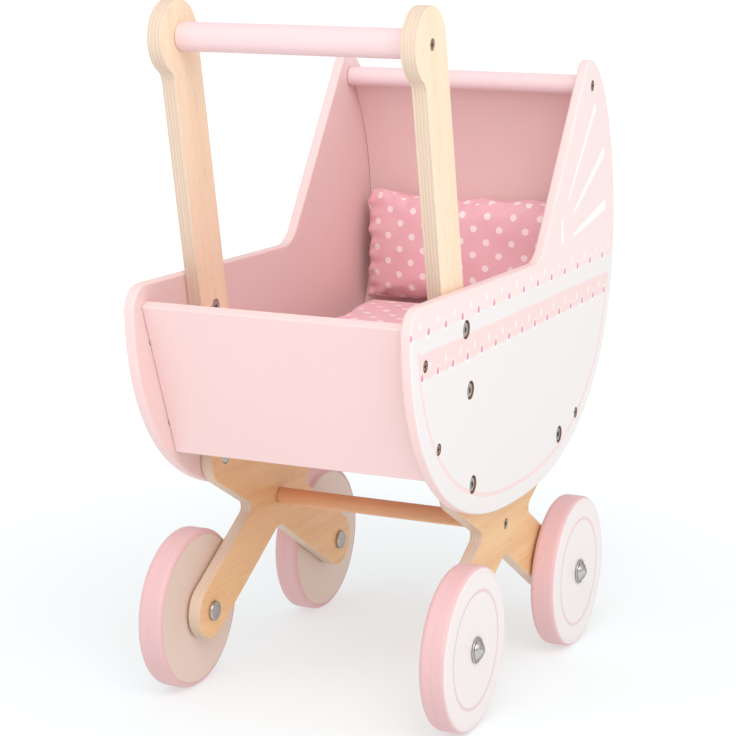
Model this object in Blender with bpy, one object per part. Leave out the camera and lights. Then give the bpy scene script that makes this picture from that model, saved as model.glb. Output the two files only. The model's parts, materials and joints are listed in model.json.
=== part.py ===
"""Doll stroller: two painted side panels, foot panel, bent hood back, ply handle posts and leg plates,
four turned wheels, mattress and pillow. Metres, +Z up, hood at +Y, handle at -Y, wheels on z = 0."""

import math

import bmesh
import bpy
from mathutils import Vector

# Side panels. The belly is half a superellipse hung from the rim, and the hood's back a quarter of one.
HALF_LENGTH = 0.2334
BELLY_HEIGHT = 0.1574
RIM_HEIGHT = 0.3517
HOOD_HEIGHT = 0.5133
HALF_WIDTH = 0.120
BOARD = 0.009
PANEL_EDGE = 0.0022
GAP = 0.0003
BELLY_POWERS = (2.40, 2.29)
HOOD_POWER = 1.82
RIM_CORNER = 0.020

# The hood in plan, as fractions of the half length: foot and tip of its front edge, and its crown.
HOOD_FOOT = 0.179
HOOD_TIP = 0.636
HOOD_CROWN = 0.664
HOOD_FOOT_RADIUS = 0.028
HOOD_TIP_RADIUS = 0.010

# Boards between the side panels.
FOOT_TOP = (-0.9474, 0.913)
FOOT_BOTTOM = (-0.7197, 0.263)
FOOT_SCREWS = (0.21, 0.755)
BOARD_EDGE = 0.0015
HOOD_INSET = 0.0225
HOOD_SHEET = 0.004
RAIL_AT = (0.6046, 0.2445)
RAIL_DEPTH = 0.016

# Dowels.
HOOD_BAR_AT = (0.6868, 1.8614)
HOOD_BAR_RADIUS = 0.009
HANDLE_RADIUS = 0.0113
CROSS_RADIUS = 0.0073
DOWEL_EDGE = 0.0008

# Handle posts: a straight shaft along the line of its two bolts, with a round eye at the top.
POST_BOLTS = ((-0.5302, 0.8405), (-0.4818, 0.5857))
POST_THICKNESS = 0.0125
POST_HALF_WIDTH = 0.0215
POST_EYE_RADIUS = 0.029
POST_NECK_RADIUS = 0.012
POST_EYE_RISE = 0.2762
HANDLE_OFFSET = 0.0025

# Leg plates: two legs from the cross dowel to the axles, and a round lobe at each bolt.
LEG_THICKNESS = 0.011
LEG_CENTRE = -0.0025
LEG_BOLT_SPREAD = 0.1007
LEG_BOLT_V = 0.1868
LEG_LOBE_RADIUS = 0.024
LEG_HALF_WIDTH = 0.0235
LEG_KNEE_HEIGHT = 0.1394
LEG_LOBE_SLOPE = 28.0
LEG_NOTCH_RADIUS = 0.006
LEG_CROTCH_RADIUS = 0.015
CROSS_HEIGHT = 0.1367
PLY_EDGE = 0.0008

# Wheels.
AXLE_SPREAD = 0.1232
WHEEL_RADIUS = 0.0665
WHEEL_WIDTH = 0.022
WHEEL_SIDE_GAP = 0.0016
TYRE_DEPTH = 0.0042
TYRE_EDGE = 0.0034
AXLE_RADIUS = 0.003
AXLE_HEAD_RADIUS = 0.0082
AXLE_HEAD = 0.0032
HUB_RADIUS = 0.0106
HUB_HEIGHT = 0.0064

# Connector bolts, barrel nuts and screws.
BOLT_RADIUS = 0.0029
BOLT_HEAD_RADIUS = 0.0064
BOLT_HEAD = 0.0026
BOLT_RECESS_RADIUS = 0.0074
BOLT_RECESS = 0.0040
NUT_RADIUS = 0.0044
NUT_FLANGE_RADIUS = 0.0068
NUT_FLANGE = 0.0015
NUT_LENGTH = 0.0085
SCREW_RADIUS = 0.0016
SCREW_HEAD_RADIUS = 0.0038
SCREW_HEAD = 0.0022
SCREW_RECESS_RADIUS = 0.0047
SCREW_RECESS = 0.0030
SCREW_BITE = 0.017
HOLE_GAP = 0.0003

# Soft pieces.
MATTRESS_THICKNESS = 0.0565
MATTRESS_ROUND = 0.011
SOFT_GAP = 0.0025
PILLOW_SIDE_GAP = 0.008
PILLOW_HEIGHT = 0.095
PILLOW_THICKNESS = 0.030

SIDES = (("right", 1), ("left", -1))
INSIDE = HALF_WIDTH - BOARD


def clear_scene():
    for old in list(bpy.data.objects):
        bpy.data.objects.remove(old, do_unlink=True)


def material(name, colour, roughness, metallic=0.0):
    made = bpy.data.materials.new(name)
    made.use_nodes = True
    shader = made.node_tree.nodes["Principled BSDF"]
    shader.inputs["Base Color"].default_value = (*colour, 1)
    shader.inputs["Roughness"].default_value = roughness
    shader.inputs["Metallic"].default_value = metallic
    made.diffuse_color = (*colour, 1)
    return made


def add(name, mesh, surface, origin=(0, 0, 0)):
    """The bmesh, drawn in world coordinates, as one object whose origin is the given point."""
    bmesh.ops.recalc_face_normals(mesh, faces=mesh.faces)
    if mesh.calc_volume(signed=True) < 0:
        bmesh.ops.reverse_faces(mesh, faces=mesh.faces)
    bmesh.ops.translate(mesh, vec=-Vector(origin), verts=mesh.verts)
    data = bpy.data.meshes.new(name)
    mesh.to_mesh(data)
    mesh.free()
    made = bpy.data.objects.new(name, data)
    made.location = origin
    bpy.context.collection.objects.link(made)
    if surface:
        data.materials.append(surface)
    data.shade_smooth()
    data.set_sharp_from_angle(angle=math.radians(35))
    return made


def cut(target, mesh, name):
    cutter = add(name, mesh, None)
    cutter.hide_render = True
    cutter.display_type = "WIRE"
    boolean = target.modifiers.new("holes", "BOOLEAN")
    boolean.operation = "DIFFERENCE"
    boolean.solver = "EXACT"
    boolean.object = cutter


def bridge(mesh, first, second):
    count = len(first)
    for i in range(count):
        j = (i + 1) % count
        mesh.faces.new((first[i], first[j], second[j], second[i]))


def lathe(mesh, profile, y, z, sign, segments, ring=False):
    """Turns (x, radius) points about the X line through (y, z); ring joins the last point to the first."""
    rings = []
    for x, radius in profile:
        turn = [2 * math.pi * i / segments for i in range(segments)]
        rings.append([
            mesh.verts.new((sign * x, y + radius * math.cos(a), z + radius * math.sin(a))) for a in turn
        ])
    for first, second in zip(rings, rings[1:]):
        bridge(mesh, first, second)
    if ring:
        bridge(mesh, rings[-1], rings[0])
    else:
        mesh.faces.new(rings[0])
        mesh.faces.new(rings[-1])


def turned(name, profile, y, z, sign, segments, surface, ring=False, origin=(0, 0, 0)):
    mesh = bmesh.new()
    lathe(mesh, profile, y, z, sign, segments, ring)
    return add(name, mesh, surface, origin)


def inset(outline, distance):
    """The closed anticlockwise outline moved inwards along its point normals."""
    moved = []
    count = len(outline)
    for i, (y, z) in enumerate(outline):
        (y0, z0), (y1, z1) = outline[i - 1], outline[(i + 1) % count]
        before = Vector((y - y0, z - z0)).normalized()
        after = Vector((y1 - y, z1 - z)).normalized()
        along = (before + after).normalized()
        stretch = 1 / max(0.5, along.dot(after))
        moved.append((y - along.y * distance * stretch, z + along.x * distance * stretch))
    return moved


def plate(name, outline, low, high, sign, edge, steps, surface, origin=(0, 0, 0)):
    """A plate between two X planes on one side, its rims rounded by the edge radius."""
    mesh = bmesh.new()
    layers = []
    for k in range(steps + 1):
        a = 0.5 * math.pi * k / steps
        layers.append((high - edge * (1 - math.cos(a)), edge * (1 - math.sin(a))))
    layers += [(low + high - x, distance) for x, distance in reversed(layers)]
    rings = [
        [mesh.verts.new((sign * x, y, z)) for y, z in inset(outline, distance)] for x, distance in layers
    ]
    for first, second in zip(rings, rings[1:]):
        bridge(mesh, first, second)
    mesh.faces.new(rings[0])
    mesh.faces.new(rings[-1])
    return add(name, mesh, surface, origin)


def place(u, v):
    """A point of the side view from its fractions."""
    if v <= 1:
        return u * HALF_LENGTH, BELLY_HEIGHT + v * (RIM_HEIGHT - BELLY_HEIGHT)
    return u * HALF_LENGTH, RIM_HEIGHT + (v - 1) * (HOOD_HEIGHT - RIM_HEIGHT)


def superellipse(centre, half_y, half_z, power, angles):
    """Points of a superellipse at these angles, anticlockwise from +Y."""
    points = []
    for a in angles:
        c, s = math.cos(a), math.sin(a)
        points.append((
            centre[0] + half_y * math.copysign(abs(c) ** (2 / power), c),
            centre[1] + half_z * math.copysign(abs(s) ** (2 / power), s),
        ))
    return points


def filleted(corners, steps):
    """A closed polygon of (y, z, radius) corners, each one rounded. Points within 0.3 mm of the last go."""
    drawn = []
    count = len(corners)
    for i, (y, z, radius) in enumerate(corners):
        here = Vector((y, z))
        to_last = (Vector(corners[i - 1][:2]) - here).normalized()
        to_next = (Vector(corners[(i + 1) % count][:2]) - here).normalized()
        half = 0.5 * math.acos(max(-1, min(1, to_last.dot(to_next))))
        if radius == 0 or half > 0.49 * math.pi:
            drawn.append((y, z))
            continue
        centre = here + (to_last + to_next).normalized() * (radius / math.sin(half))
        start = here + to_last * (radius / math.tan(half)) - centre
        end = here + to_next * (radius / math.tan(half)) - centre
        sweep = start.angle_signed(end)
        for k in range(steps + 1):
            a = -sweep * k / steps
            drawn.append((
                centre.x + start.x * math.cos(a) - start.y * math.sin(a),
                centre.y + start.x * math.sin(a) + start.y * math.cos(a),
            ))
    return [p for i, p in enumerate(drawn) if (Vector(p) - Vector(drawn[i - 1])).length > 0.0003]


def panel_outline():
    """The side panel's outline, anticlockwise from its front top corner."""
    depth = RIM_HEIGHT - BELLY_HEIGHT
    quarter = 0.5 * math.pi
    middle = (0, RIM_HEIGHT)
    turns = steps_between(2 * quarter, 3 * quarter, 20)
    front = superellipse(middle, HALF_LENGTH, depth, BELLY_POWERS[0], turns)
    turns = steps_between(3 * quarter, 4 * quarter, 20)
    rear = superellipse(middle, HALF_LENGTH, depth, BELLY_POWERS[1], turns)
    crown = (HOOD_CROWN * HALF_LENGTH, RIM_HEIGHT)
    back = superellipse(
        crown, HALF_LENGTH - crown[0], HOOD_HEIGHT - RIM_HEIGHT, HOOD_POWER, steps_between(0, quarter, 14)
    )
    low_front = [(y, z, 0) for y, z in front[1:-1] if z < RIM_HEIGHT - 1.05 * RIM_CORNER]
    corners = [(-HALF_LENGTH, RIM_HEIGHT, RIM_CORNER)] + low_front
    corners += [(y, z, 0) for y, z in rear[:-1] + back]
    corners += [
        (HOOD_TIP * HALF_LENGTH, HOOD_HEIGHT, HOOD_TIP_RADIUS),
        (HOOD_FOOT * HALF_LENGTH, RIM_HEIGHT, HOOD_FOOT_RADIUS),
    ]
    return filleted(corners, 5)


def hood_curve(distance):
    """The rear of the side outline moved inwards, as points from the hood bar down to the bed board."""
    _, bar_z = place(*HOOD_BAR_AT)
    low, high = bed_board_z()[0] + 0.001, bar_z - HOOD_BAR_RADIUS - 0.012
    outline = panel_outline()
    heights = [z for _, z in outline]
    rear = inset(outline, distance)[heights.index(min(heights)) : heights.index(max(heights))]
    return [(y, z) for y, z in reversed(rear) if low < z < high]


def hood_y(z, distance):
    """Where the hood curve at this inset crosses a height."""
    points = hood_curve(distance)
    for (y1, z1), (y2, z2) in zip(points, points[1:]):
        if z2 <= z <= z1:
            return y1 + (y2 - y1) * (z1 - z) / (z1 - z2)
    return points[-1][0]


def foot_frame():
    """Bottom front corner, up direction and inward normal of the foot panel, and its height."""
    top, bottom = Vector(place(*FOOT_TOP)), Vector(place(*FOOT_BOTTOM))
    up = (top - bottom).normalized()
    return bottom, up, Vector((up.y, -up.x)), (top - bottom).length


def foot_back_y(z):
    bottom, up, inward, _ = foot_frame()
    start = bottom + inward * BOARD
    return start.x + up.x * (z - start.y) / up.y


def leg_bolts():
    _, z = place(0, LEG_BOLT_V)
    return [(LEG_CENTRE - LEG_BOLT_SPREAD, z), (LEG_CENTRE + LEG_BOLT_SPREAD, z)]


def bed_board_z():
    low = leg_bolts()[0][1] + LEG_LOBE_RADIUS + GAP
    return low, low + BOARD


def post_frame():
    """Lower bolt, up direction and rearward normal of the handle posts."""
    upper, lower = Vector(place(*POST_BOLTS[0])), Vector(place(*POST_BOLTS[1]))
    up = (upper - lower).normalized()
    return lower, up, Vector((up.y, -up.x))


def handle_centre():
    lower, up, rear = post_frame()
    offset = POST_HALF_WIDTH - POST_EYE_RADIUS + HANDLE_OFFSET
    centre = lower + up * POST_EYE_RISE + rear * offset
    return centre.x, centre.y


def axle(end):
    return LEG_CENTRE + end * AXLE_SPREAD, WHEEL_RADIUS


def holes(mesh, at, sign, steps):
    """A stepped hole about X, from inside outwards, as (x, radius) pairs of ledges."""
    lathe(mesh, steps, at[0], at[1], sign, 12)


def counterbored(mesh, at, sign, inner, outer, hole, recess_radius, recess):
    """A hole from inner to outer, opening at outer into a recess."""
    holes(mesh, at, sign, (
        (inner, hole), (outer - recess, hole),
        (outer - recess, recess_radius), (outer + 0.002, recess_radius),
    ))


def screw_points():
    """Every wood screw that enters through a side panel, as name, point and X of the wood it bites."""
    bottom, up, inward, height = foot_frame()
    points = []
    for name, share in zip(("lower", "upper"), FOOT_SCREWS):
        middle = bottom + up * height * share + inward * BOARD * 0.5
        points.append((f"foot_screw_{name}", (middle.x, middle.y)))
    points.append(("rail_screw", rail_centre()))
    points.append(("hood_bar_screw", place(*HOOD_BAR_AT)))
    return points


def rail_centre():
    y, z = place(*RAIL_AT)
    return y, min(z, bed_board_z()[0] - GAP - 0.5 * RAIL_DEPTH)


def bolt_points():
    posts = [place(*POST_BOLTS[0]), place(*POST_BOLTS[1])]
    return list(zip(("post_bolt_upper", "post_bolt_lower"), posts)) + list(
        zip(("leg_bolt_front", "leg_bolt_rear"), leg_bolts())
    )


def build_side_panel(side, sign, surface):
    outline = panel_outline()
    panel = plate(f"side_panel_{side}", outline, INSIDE, HALF_WIDTH, sign, PANEL_EDGE, 1, surface)
    mesh = bmesh.new()
    for _, at in screw_points():
        hole = SCREW_RADIUS + HOLE_GAP
        counterbored(
            mesh, at, sign, INSIDE - 0.002, HALF_WIDTH, hole, SCREW_RECESS_RADIUS, SCREW_RECESS
        )
    for _, at in bolt_points():
        hole = BOLT_RADIUS + HOLE_GAP
        counterbored(
            mesh, at, sign, INSIDE - 0.002, HALF_WIDTH, hole, BOLT_RECESS_RADIUS, BOLT_RECESS
        )
    cut(panel, mesh, f"cut_side_panel_{side}")


def bite_holes(mesh, at, reach):
    """Pilot holes for a screw in both ends of a piece that runs across to X = reach."""
    for _, sign in SIDES:
        holes(mesh, at, sign, (
            (reach - SCREW_BITE - 0.002, SCREW_RADIUS + HOLE_GAP), (reach + 0.002, SCREW_RADIUS + HOLE_GAP),
        ))


def build_foot_panel(surface):
    bottom, up, inward, height = foot_frame()
    corners = [bottom + up * height, bottom, bottom + inward * BOARD, bottom + up * height + inward * BOARD]
    outline = filleted([(c.x, c.y, BOARD_EDGE) for c in corners], 2)
    mesh = bmesh.new()
    extrude(mesh, outline, INSIDE - GAP)
    panel = add("foot_panel", mesh, surface)
    mesh = bmesh.new()
    for _, at in screw_points()[:2]:
        bite_holes(mesh, at, INSIDE - GAP)
    cut(panel, mesh, "cut_foot_panel")


def extrude(mesh, outline, reach):
    """A straight bar of this section from X = -reach to X = reach."""
    rings = [[mesh.verts.new((x, y, z)) for y, z in outline] for x in (reach, -reach)]
    bridge(mesh, *rings)
    mesh.faces.new(rings[0])
    mesh.faces.new(rings[1])


def build_hood_panel(surface):
    bar_y, bar_z = place(*HOOD_BAR_AT)
    clear = HOOD_BAR_RADIUS + 0.5 * HOOD_SHEET + 0.001
    middle = [(bar_y + clear * math.cos(-0.70), bar_z + clear * math.sin(-0.70))] + hood_curve(HOOD_INSET)
    front, back = [], []
    for i, (y, z) in enumerate(middle):
        before, after = Vector(middle[max(i - 1, 0)]), Vector(middle[min(i + 1, len(middle) - 1)])
        along = (after - before).normalized() * HOOD_SHEET * 0.5
        front.append((y + along.y, z - along.x))
        back.append((y - along.y, z + along.x))
    mesh = bmesh.new()
    extrude(mesh, front + back[::-1], INSIDE - GAP)
    add("hood_panel", mesh, surface)


def build_bed(surface):
    low, high = bed_board_z()
    rear = hood_y(low + 0.0015, HOOD_INSET + 0.5 * HOOD_SHEET) - 0.004
    front = foot_back_y(low) + 0.006
    mesh = bmesh.new()
    section = ((front, low), (rear, low), (rear, high), (front, high))
    extrude(mesh, filleted([(y, z, 0.001) for y, z in section], 1), INSIDE - GAP)
    add("bed_board", mesh, surface)
    y, z = rail_centre()
    half, top = 0.5 * RAIL_DEPTH, low - GAP
    mesh = bmesh.new()
    section = ((y - half, z - half), (y + half, z - half), (y + half, top), (y - half, top))
    extrude(mesh, filleted([(a, b, 0.002) for a, b in section], 2), INSIDE - GAP)
    rail = add("rear_rail", mesh, surface)
    mesh = bmesh.new()
    bite_holes(mesh, (y, z), INSIDE - GAP)
    cut(rail, mesh, "cut_rear_rail")


def build_dowel(name, at, radius, reach, segments, surface):
    profile = ((reach, radius - DOWEL_EDGE), (reach - DOWEL_EDGE, radius),
               (DOWEL_EDGE - reach, radius), (-reach, radius - DOWEL_EDGE))
    dowel = turned(name, profile, at[0], at[1], 1, segments, surface)
    mesh = bmesh.new()
    bite_holes(mesh, at, reach)
    cut(dowel, mesh, f"cut_{name}")


def post_outline():
    lower, up, rear = post_frame()
    half, eye, neck = POST_HALF_WIDTH, POST_EYE_RADIUS, POST_NECK_RADIUS
    offset = half - eye
    drop = math.sqrt((eye + neck) ** 2 - (offset + half + neck) ** 2)
    local = [(-half * math.sin(a), half * math.cos(a)) for a in steps_between(0, math.pi, 8)]
    local = [(s, -w) for s, w in local]
    start = math.atan2(-drop, -(half + neck + offset))
    turn = steps_between(0, 2 * math.pi + start, 14)
    rounded = [(POST_EYE_RISE + eye * math.sin(a), offset + eye * math.cos(a)) for a in turn]
    hollow = []
    for a in steps_between(start + math.pi, 0, 4)[1:]:
        hollow.append((POST_EYE_RISE - drop + neck * math.sin(a), -half - neck + neck * math.cos(a)))
    points = []
    for s, w in local + rounded + hollow:
        point = lower + up * s + rear * w
        points.append((point.x, point.y))
    return points


def steps_between(first, last, count):
    return [first + (last - first) * k / count for k in range(count + 1)]


def build_post(side, sign, surface):
    high = INSIDE - GAP
    low = high - POST_THICKNESS
    post = plate(f"handle_post_{side}", post_outline(), low, high, sign, PLY_EDGE, 1, surface)
    mesh = bmesh.new()
    hole, centre = SCREW_RADIUS + HOLE_GAP, handle_centre()
    counterbored(mesh, centre, sign, low - 0.002, high, hole, SCREW_RECESS_RADIUS, SCREW_RECESS)
    for _, at in bolt_points()[:2]:
        nut_hole(mesh, at, sign, low, high)
    cut(post, mesh, f"cut_handle_post_{side}")


def nut_hole(mesh, at, sign, low, high):
    """The barrel nut's hole and flange recess, entered from the inner face, then the bolt's hole."""
    ledge = NUT_FLANGE + GAP
    floor = low + NUT_LENGTH + 2 * GAP
    holes(mesh, at, sign, (
        (low - 0.002, NUT_FLANGE_RADIUS + GAP), (low + ledge, NUT_FLANGE_RADIUS + GAP),
        (low + ledge, NUT_RADIUS + GAP), (floor, NUT_RADIUS + GAP),
        (floor, BOLT_RADIUS + HOLE_GAP), (high + 0.002, BOLT_RADIUS + HOLE_GAP),
    ))


def leg_outline():
    """Anticlockwise seen from +X: half of it here, then its mirror image about the leg centre."""
    knee = Vector((0, LEG_KNEE_HEIGHT))
    wheel = Vector((AXLE_SPREAD, WHEEL_RADIUS))
    along = (wheel - knee).normalized()
    across = Vector((-along.y, along.x))
    width = LEG_HALF_WIDTH
    tip = wheel + along * width
    bolt = Vector((LEG_BOLT_SPREAD, leg_bolts()[1][1]))
    slope = math.radians(LEG_LOBE_SLOPE)
    lobe = LEG_LOBE_RADIUS
    touch = bolt + Vector((math.sin(slope), -math.cos(slope))) * lobe
    side = bolt.x + lobe
    heel = Vector((side, touch.y + (side - touch.x) * math.tan(slope)))
    start = wheel + across * width
    steep = along.y / along.x
    notch_y = (start.y - touch.y + touch.x * math.tan(slope) - start.x * steep) / (math.tan(slope) - steep)
    notch = Vector((notch_y, touch.y + (notch_y - touch.x) * math.tan(slope)))
    crotch = Vector((0, LEG_KNEE_HEIGHT - width / along.x))
    corners = [
        (crotch.x, crotch.y, LEG_CROTCH_RADIUS),
        (*(tip - across * width), width), (*(tip + across * width), width),
        (*notch, LEG_NOTCH_RADIUS), (*heel, lobe), (side, bolt.y + lobe, lobe),
    ]
    mirrored = [(-y, z, radius) for y, z, radius in reversed(corners[1:])]
    return [(LEG_CENTRE + y, z) for y, z in filleted(corners + mirrored, 5)]


def build_leg(side, sign, surface):
    high = INSIDE - GAP
    low = high - LEG_THICKNESS
    leg = plate(f"leg_plate_{side}", leg_outline(), low, high, sign, PLY_EDGE, 1, surface)
    mesh = bmesh.new()
    hole, centre = SCREW_RADIUS + HOLE_GAP, (LEG_CENTRE, CROSS_HEIGHT)
    counterbored(mesh, centre, sign, low - 0.002, high, hole, SCREW_RECESS_RADIUS, SCREW_RECESS)
    for _, at in bolt_points()[2:]:
        nut_hole(mesh, at, sign, low, high)
    for end in (-1, 1):
        hole = AXLE_RADIUS + HOLE_GAP
        holes(mesh, axle(end), sign, ((low - 0.002, hole), (high + 0.002, hole)))
    cut(leg, mesh, f"cut_leg_plate_{side}")


def build_wheel(side, sign, end, name, surfaces):
    y, z = axle(end)
    low = INSIDE - GAP + WHEEL_SIDE_GAP
    high = low + WHEEL_WIDTH
    origin = (sign * 0.5 * (low + high), y, z)
    rim = WHEEL_RADIUS - TYRE_DEPTH - GAP
    bore = AXLE_RADIUS + HOLE_GAP
    turned(f"wheel_{name}_{side}", (
        (low, bore), (high, bore), (high, rim - 0.0004), (high - 0.0004, rim),
        (low + 0.0004, rim), (low, rim - 0.0004),
    ), y, z, sign, 36, surfaces["wheel"], True, origin)
    seat, curve = WHEEL_RADIUS - TYRE_DEPTH, TYRE_EDGE
    section = [(low, seat), (high, seat)]
    for a in steps_between(0, 0.5 * math.pi, 2):
        section.append((high - curve + curve * math.cos(a), WHEEL_RADIUS - curve + curve * math.sin(a)))
    for a in steps_between(0.5 * math.pi, math.pi, 2):
        section.append((low + curve + curve * math.cos(a), WHEEL_RADIUS - curve + curve * math.sin(a)))
    turned(f"tyre_{name}_{side}", section, y, z, sign, 36, surfaces["tyre"], True, origin)
    head = INSIDE - GAP - LEG_THICKNESS - GAP
    turned(f"axle_bolt_{name}_{side}", (
        (head - AXLE_HEAD, AXLE_HEAD_RADIUS - 0.001), (head - AXLE_HEAD + 0.001, AXLE_HEAD_RADIUS),
        (head, AXLE_HEAD_RADIUS), (head, AXLE_RADIUS), (high + 0.0035, AXLE_RADIUS),
    ), y, z, sign, 12, surfaces["steel"])
    cap = high + 0.0006
    turned(f"hub_cap_{name}_{side}", (
        (cap + 0.0033, AXLE_RADIUS + GAP), (cap, AXLE_RADIUS + GAP),
        (cap, HUB_RADIUS), (cap + 0.0012, HUB_RADIUS), (cap + 0.0014, 0.8 * HUB_RADIUS),
        (cap + 0.0036, 0.68 * HUB_RADIUS), (cap + 0.0054, 0.4 * HUB_RADIUS),
        (cap + HUB_HEIGHT, 0.12 * HUB_RADIUS),
    ), y, z, sign, 12, surfaces["steel"])


def build_bolts(side, sign, surface):
    floor = HALF_WIDTH - BOLT_RECESS + GAP
    for name, at in bolt_points():
        thickness = POST_THICKNESS if name.startswith("post") else LEG_THICKNESS
        low = INSIDE - GAP - thickness
        turned(f"{name}_{side}", (
            (floor + 0.0008, 0.0022), (floor + BOLT_HEAD, 0.0022),
            (floor + BOLT_HEAD, BOLT_HEAD_RADIUS - 0.0006),
            (floor + BOLT_HEAD - 0.0006, BOLT_HEAD_RADIUS), (floor, BOLT_HEAD_RADIUS), (floor, BOLT_RADIUS),
            (low + 0.003, BOLT_RADIUS),
        ), *at, sign, 12, surface)
        wall = BOLT_RADIUS + GAP
        turned(f"{name.replace('bolt', 'nut')}_{side}", (
            (low + NUT_LENGTH, wall), (low + NUT_LENGTH, NUT_RADIUS), (low + NUT_FLANGE, NUT_RADIUS),
            (low + NUT_FLANGE, NUT_FLANGE_RADIUS), (low, NUT_FLANGE_RADIUS), (low, wall),
        ), *at, sign, 12, surface, True)


def build_screw(name, at, sign, outer, reach, surface):
    """A wood screw: its head sits in a recess open at outer, and its tip bites wood that ends at reach."""
    floor = outer - SCREW_RECESS + GAP
    turned(name, (
        (floor + 0.0012, 0.0006), (floor + SCREW_HEAD, 0.0018), (floor + SCREW_HEAD, SCREW_HEAD_RADIUS),
        (floor, SCREW_HEAD_RADIUS - 0.0006), (floor, SCREW_RADIUS),
        (reach - SCREW_BITE + 0.002, SCREW_RADIUS),
        (reach - SCREW_BITE, 0.0005),
    ), *at, sign, 8, surface)


def build_screws(side, sign, surface):
    for name, at in screw_points():
        build_screw(f"{name}_{side}", at, sign, HALF_WIDTH, INSIDE - GAP, surface)
    post_face = INSIDE - GAP
    build_screw(f"handle_screw_{side}", handle_centre(), sign, post_face, handle_reach(), surface)
    build_screw(f"cross_screw_{side}", (LEG_CENTRE, CROSS_HEIGHT), sign, post_face, cross_reach(), surface)


def handle_reach():
    return INSIDE - GAP - POST_THICKNESS - GAP


def cross_reach():
    return INSIDE - GAP - LEG_THICKNESS - GAP


def build_mattress(surface):
    low = bed_board_z()[1] + GAP
    high = low + MATTRESS_THICKNESS
    distance = HOOD_INSET + 0.5 * HOOD_SHEET + SOFT_GAP
    corners = [
        (foot_back_y(low) + SOFT_GAP + 0.002, low, 0.006),
        (hood_y(low, distance) - 0.004, low, 0.006),
        (hood_y(low + 0.35 * MATTRESS_THICKNESS, distance) - 0.001, low + 0.35 * MATTRESS_THICKNESS, 0.02),
        (hood_y(high, distance), high, MATTRESS_ROUND),
        (foot_back_y(high) + SOFT_GAP + 0.002, high, MATTRESS_ROUND),
    ]
    reach = handle_reach() - 0.001
    origin = (0, 0, 0.5 * (low + high))
    plate("mattress", filleted(corners, 3), -reach, reach, 1, MATTRESS_ROUND, 3, surface, origin)
    return high


def build_pillow(bottom, surface):
    """Two bulging faces meeting in a thin rounded border, standing against the hood panel."""
    half_x, half_z = INSIDE - PILLOW_SIDE_GAP, 0.5 * PILLOW_HEIGHT
    z = bottom + SOFT_GAP + half_z
    distance = HOOD_INSET + 0.5 * HOOD_SHEET + SOFT_GAP
    rear = min(hood_y(z + k * half_z, distance) for k in (-0.6, 0, 0.6))
    y = rear - 0.5 * PILLOW_THICKNESS
    mesh = bmesh.new()
    columns, rows = 12, 8
    grids = []
    for facing in (-1, 1):
        grid = []
        for i in range(columns + 1):
            s = -math.cos(math.pi * i / columns)
            for j in range(rows + 1):
                t = -math.cos(math.pi * j / rows)
                bulge = (max(0, 1 - s**4) * max(0, 1 - t**4)) ** 0.5
                border = 0.0 if i in (0, columns) or j in (0, rows) else 0.08
                depth = 0.5 * PILLOW_THICKNESS * (border + (1 - border) * bulge)
                grid.append((half_x * s, y + facing * depth, z + half_z * t))
        grids.append(grid)
    seam = {}
    for facing, grid in zip((-1, 1), grids):
        made = []
        for n, point in enumerate(grid):
            i, j = divmod(n, rows + 1)
            if i in (0, columns) or j in (0, rows):
                made.append(seam.setdefault(n, None) or mesh.verts.new(point))
                seam[n] = made[-1]
            else:
                made.append(mesh.verts.new(point))
        for i in range(columns):
            for j in range(rows):
                a, b = i * (rows + 1) + j, (i + 1) * (rows + 1) + j
                mesh.faces.new([made[k] for k in (a, b, b + 1, a + 1)][::facing])
    add("pillow", mesh, surface, (0, y, z))


def main():
    clear_scene()
    surfaces = {
        "panel": material("panel_paint", (0.93, 0.75, 0.75), 0.45),
        "inner": material("inner_paint", (0.91, 0.66, 0.68), 0.5),
        "dowel": material("dowel_paint", (0.93, 0.72, 0.75), 0.4),
        "ply": material("birch_ply", (0.84, 0.66, 0.44), 0.5),
        "cross": material("cross_wood", (0.68, 0.42, 0.24), 0.5),
        "wheel": material("wheel_wood", (0.93, 0.88, 0.86), 0.4),
        "tyre": material("wheel_tyre", (0.88, 0.66, 0.69), 0.55),
        "steel": material("fastener_steel", (0.62, 0.60, 0.58), 0.3, 1.0),
        "mattress": material("mattress_fabric", (0.80, 0.45, 0.55), 0.9),
        "pillow": material("pillow_fabric", (0.80, 0.45, 0.55), 0.9),
    }
    for side, sign in SIDES:
        build_side_panel(side, sign, surfaces["panel"])
        build_post(side, sign, surfaces["ply"])
        build_leg(side, sign, surfaces["ply"])
        for end, name in ((-1, "front"), (1, "rear")):
            build_wheel(side, sign, end, name, surfaces)
        build_bolts(side, sign, surfaces["steel"])
        build_screws(side, sign, surfaces["steel"])
    build_foot_panel(surfaces["inner"])
    build_hood_panel(surfaces["inner"])
    build_bed(surfaces["inner"])
    build_dowel("handle_bar", handle_centre(), HANDLE_RADIUS, handle_reach(), 20, surfaces["dowel"])
    build_dowel("hood_bar", place(*HOOD_BAR_AT), HOOD_BAR_RADIUS, INSIDE - GAP, 18, surfaces["dowel"])
    centre = (LEG_CENTRE, CROSS_HEIGHT)
    build_dowel("cross_dowel", centre, CROSS_RADIUS, cross_reach(), 16, surfaces["cross"])
    build_pillow(build_mattress(surfaces["mattress"]), surfaces["pillow"])


main()
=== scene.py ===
"""A wooden doll stroller: painted side boards, birch ply posts and legs, wooden wheels, and sewn bedding."""

import json
import math

import bmesh
import bpy
from mathutils import Matrix, Vector, noise

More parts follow.
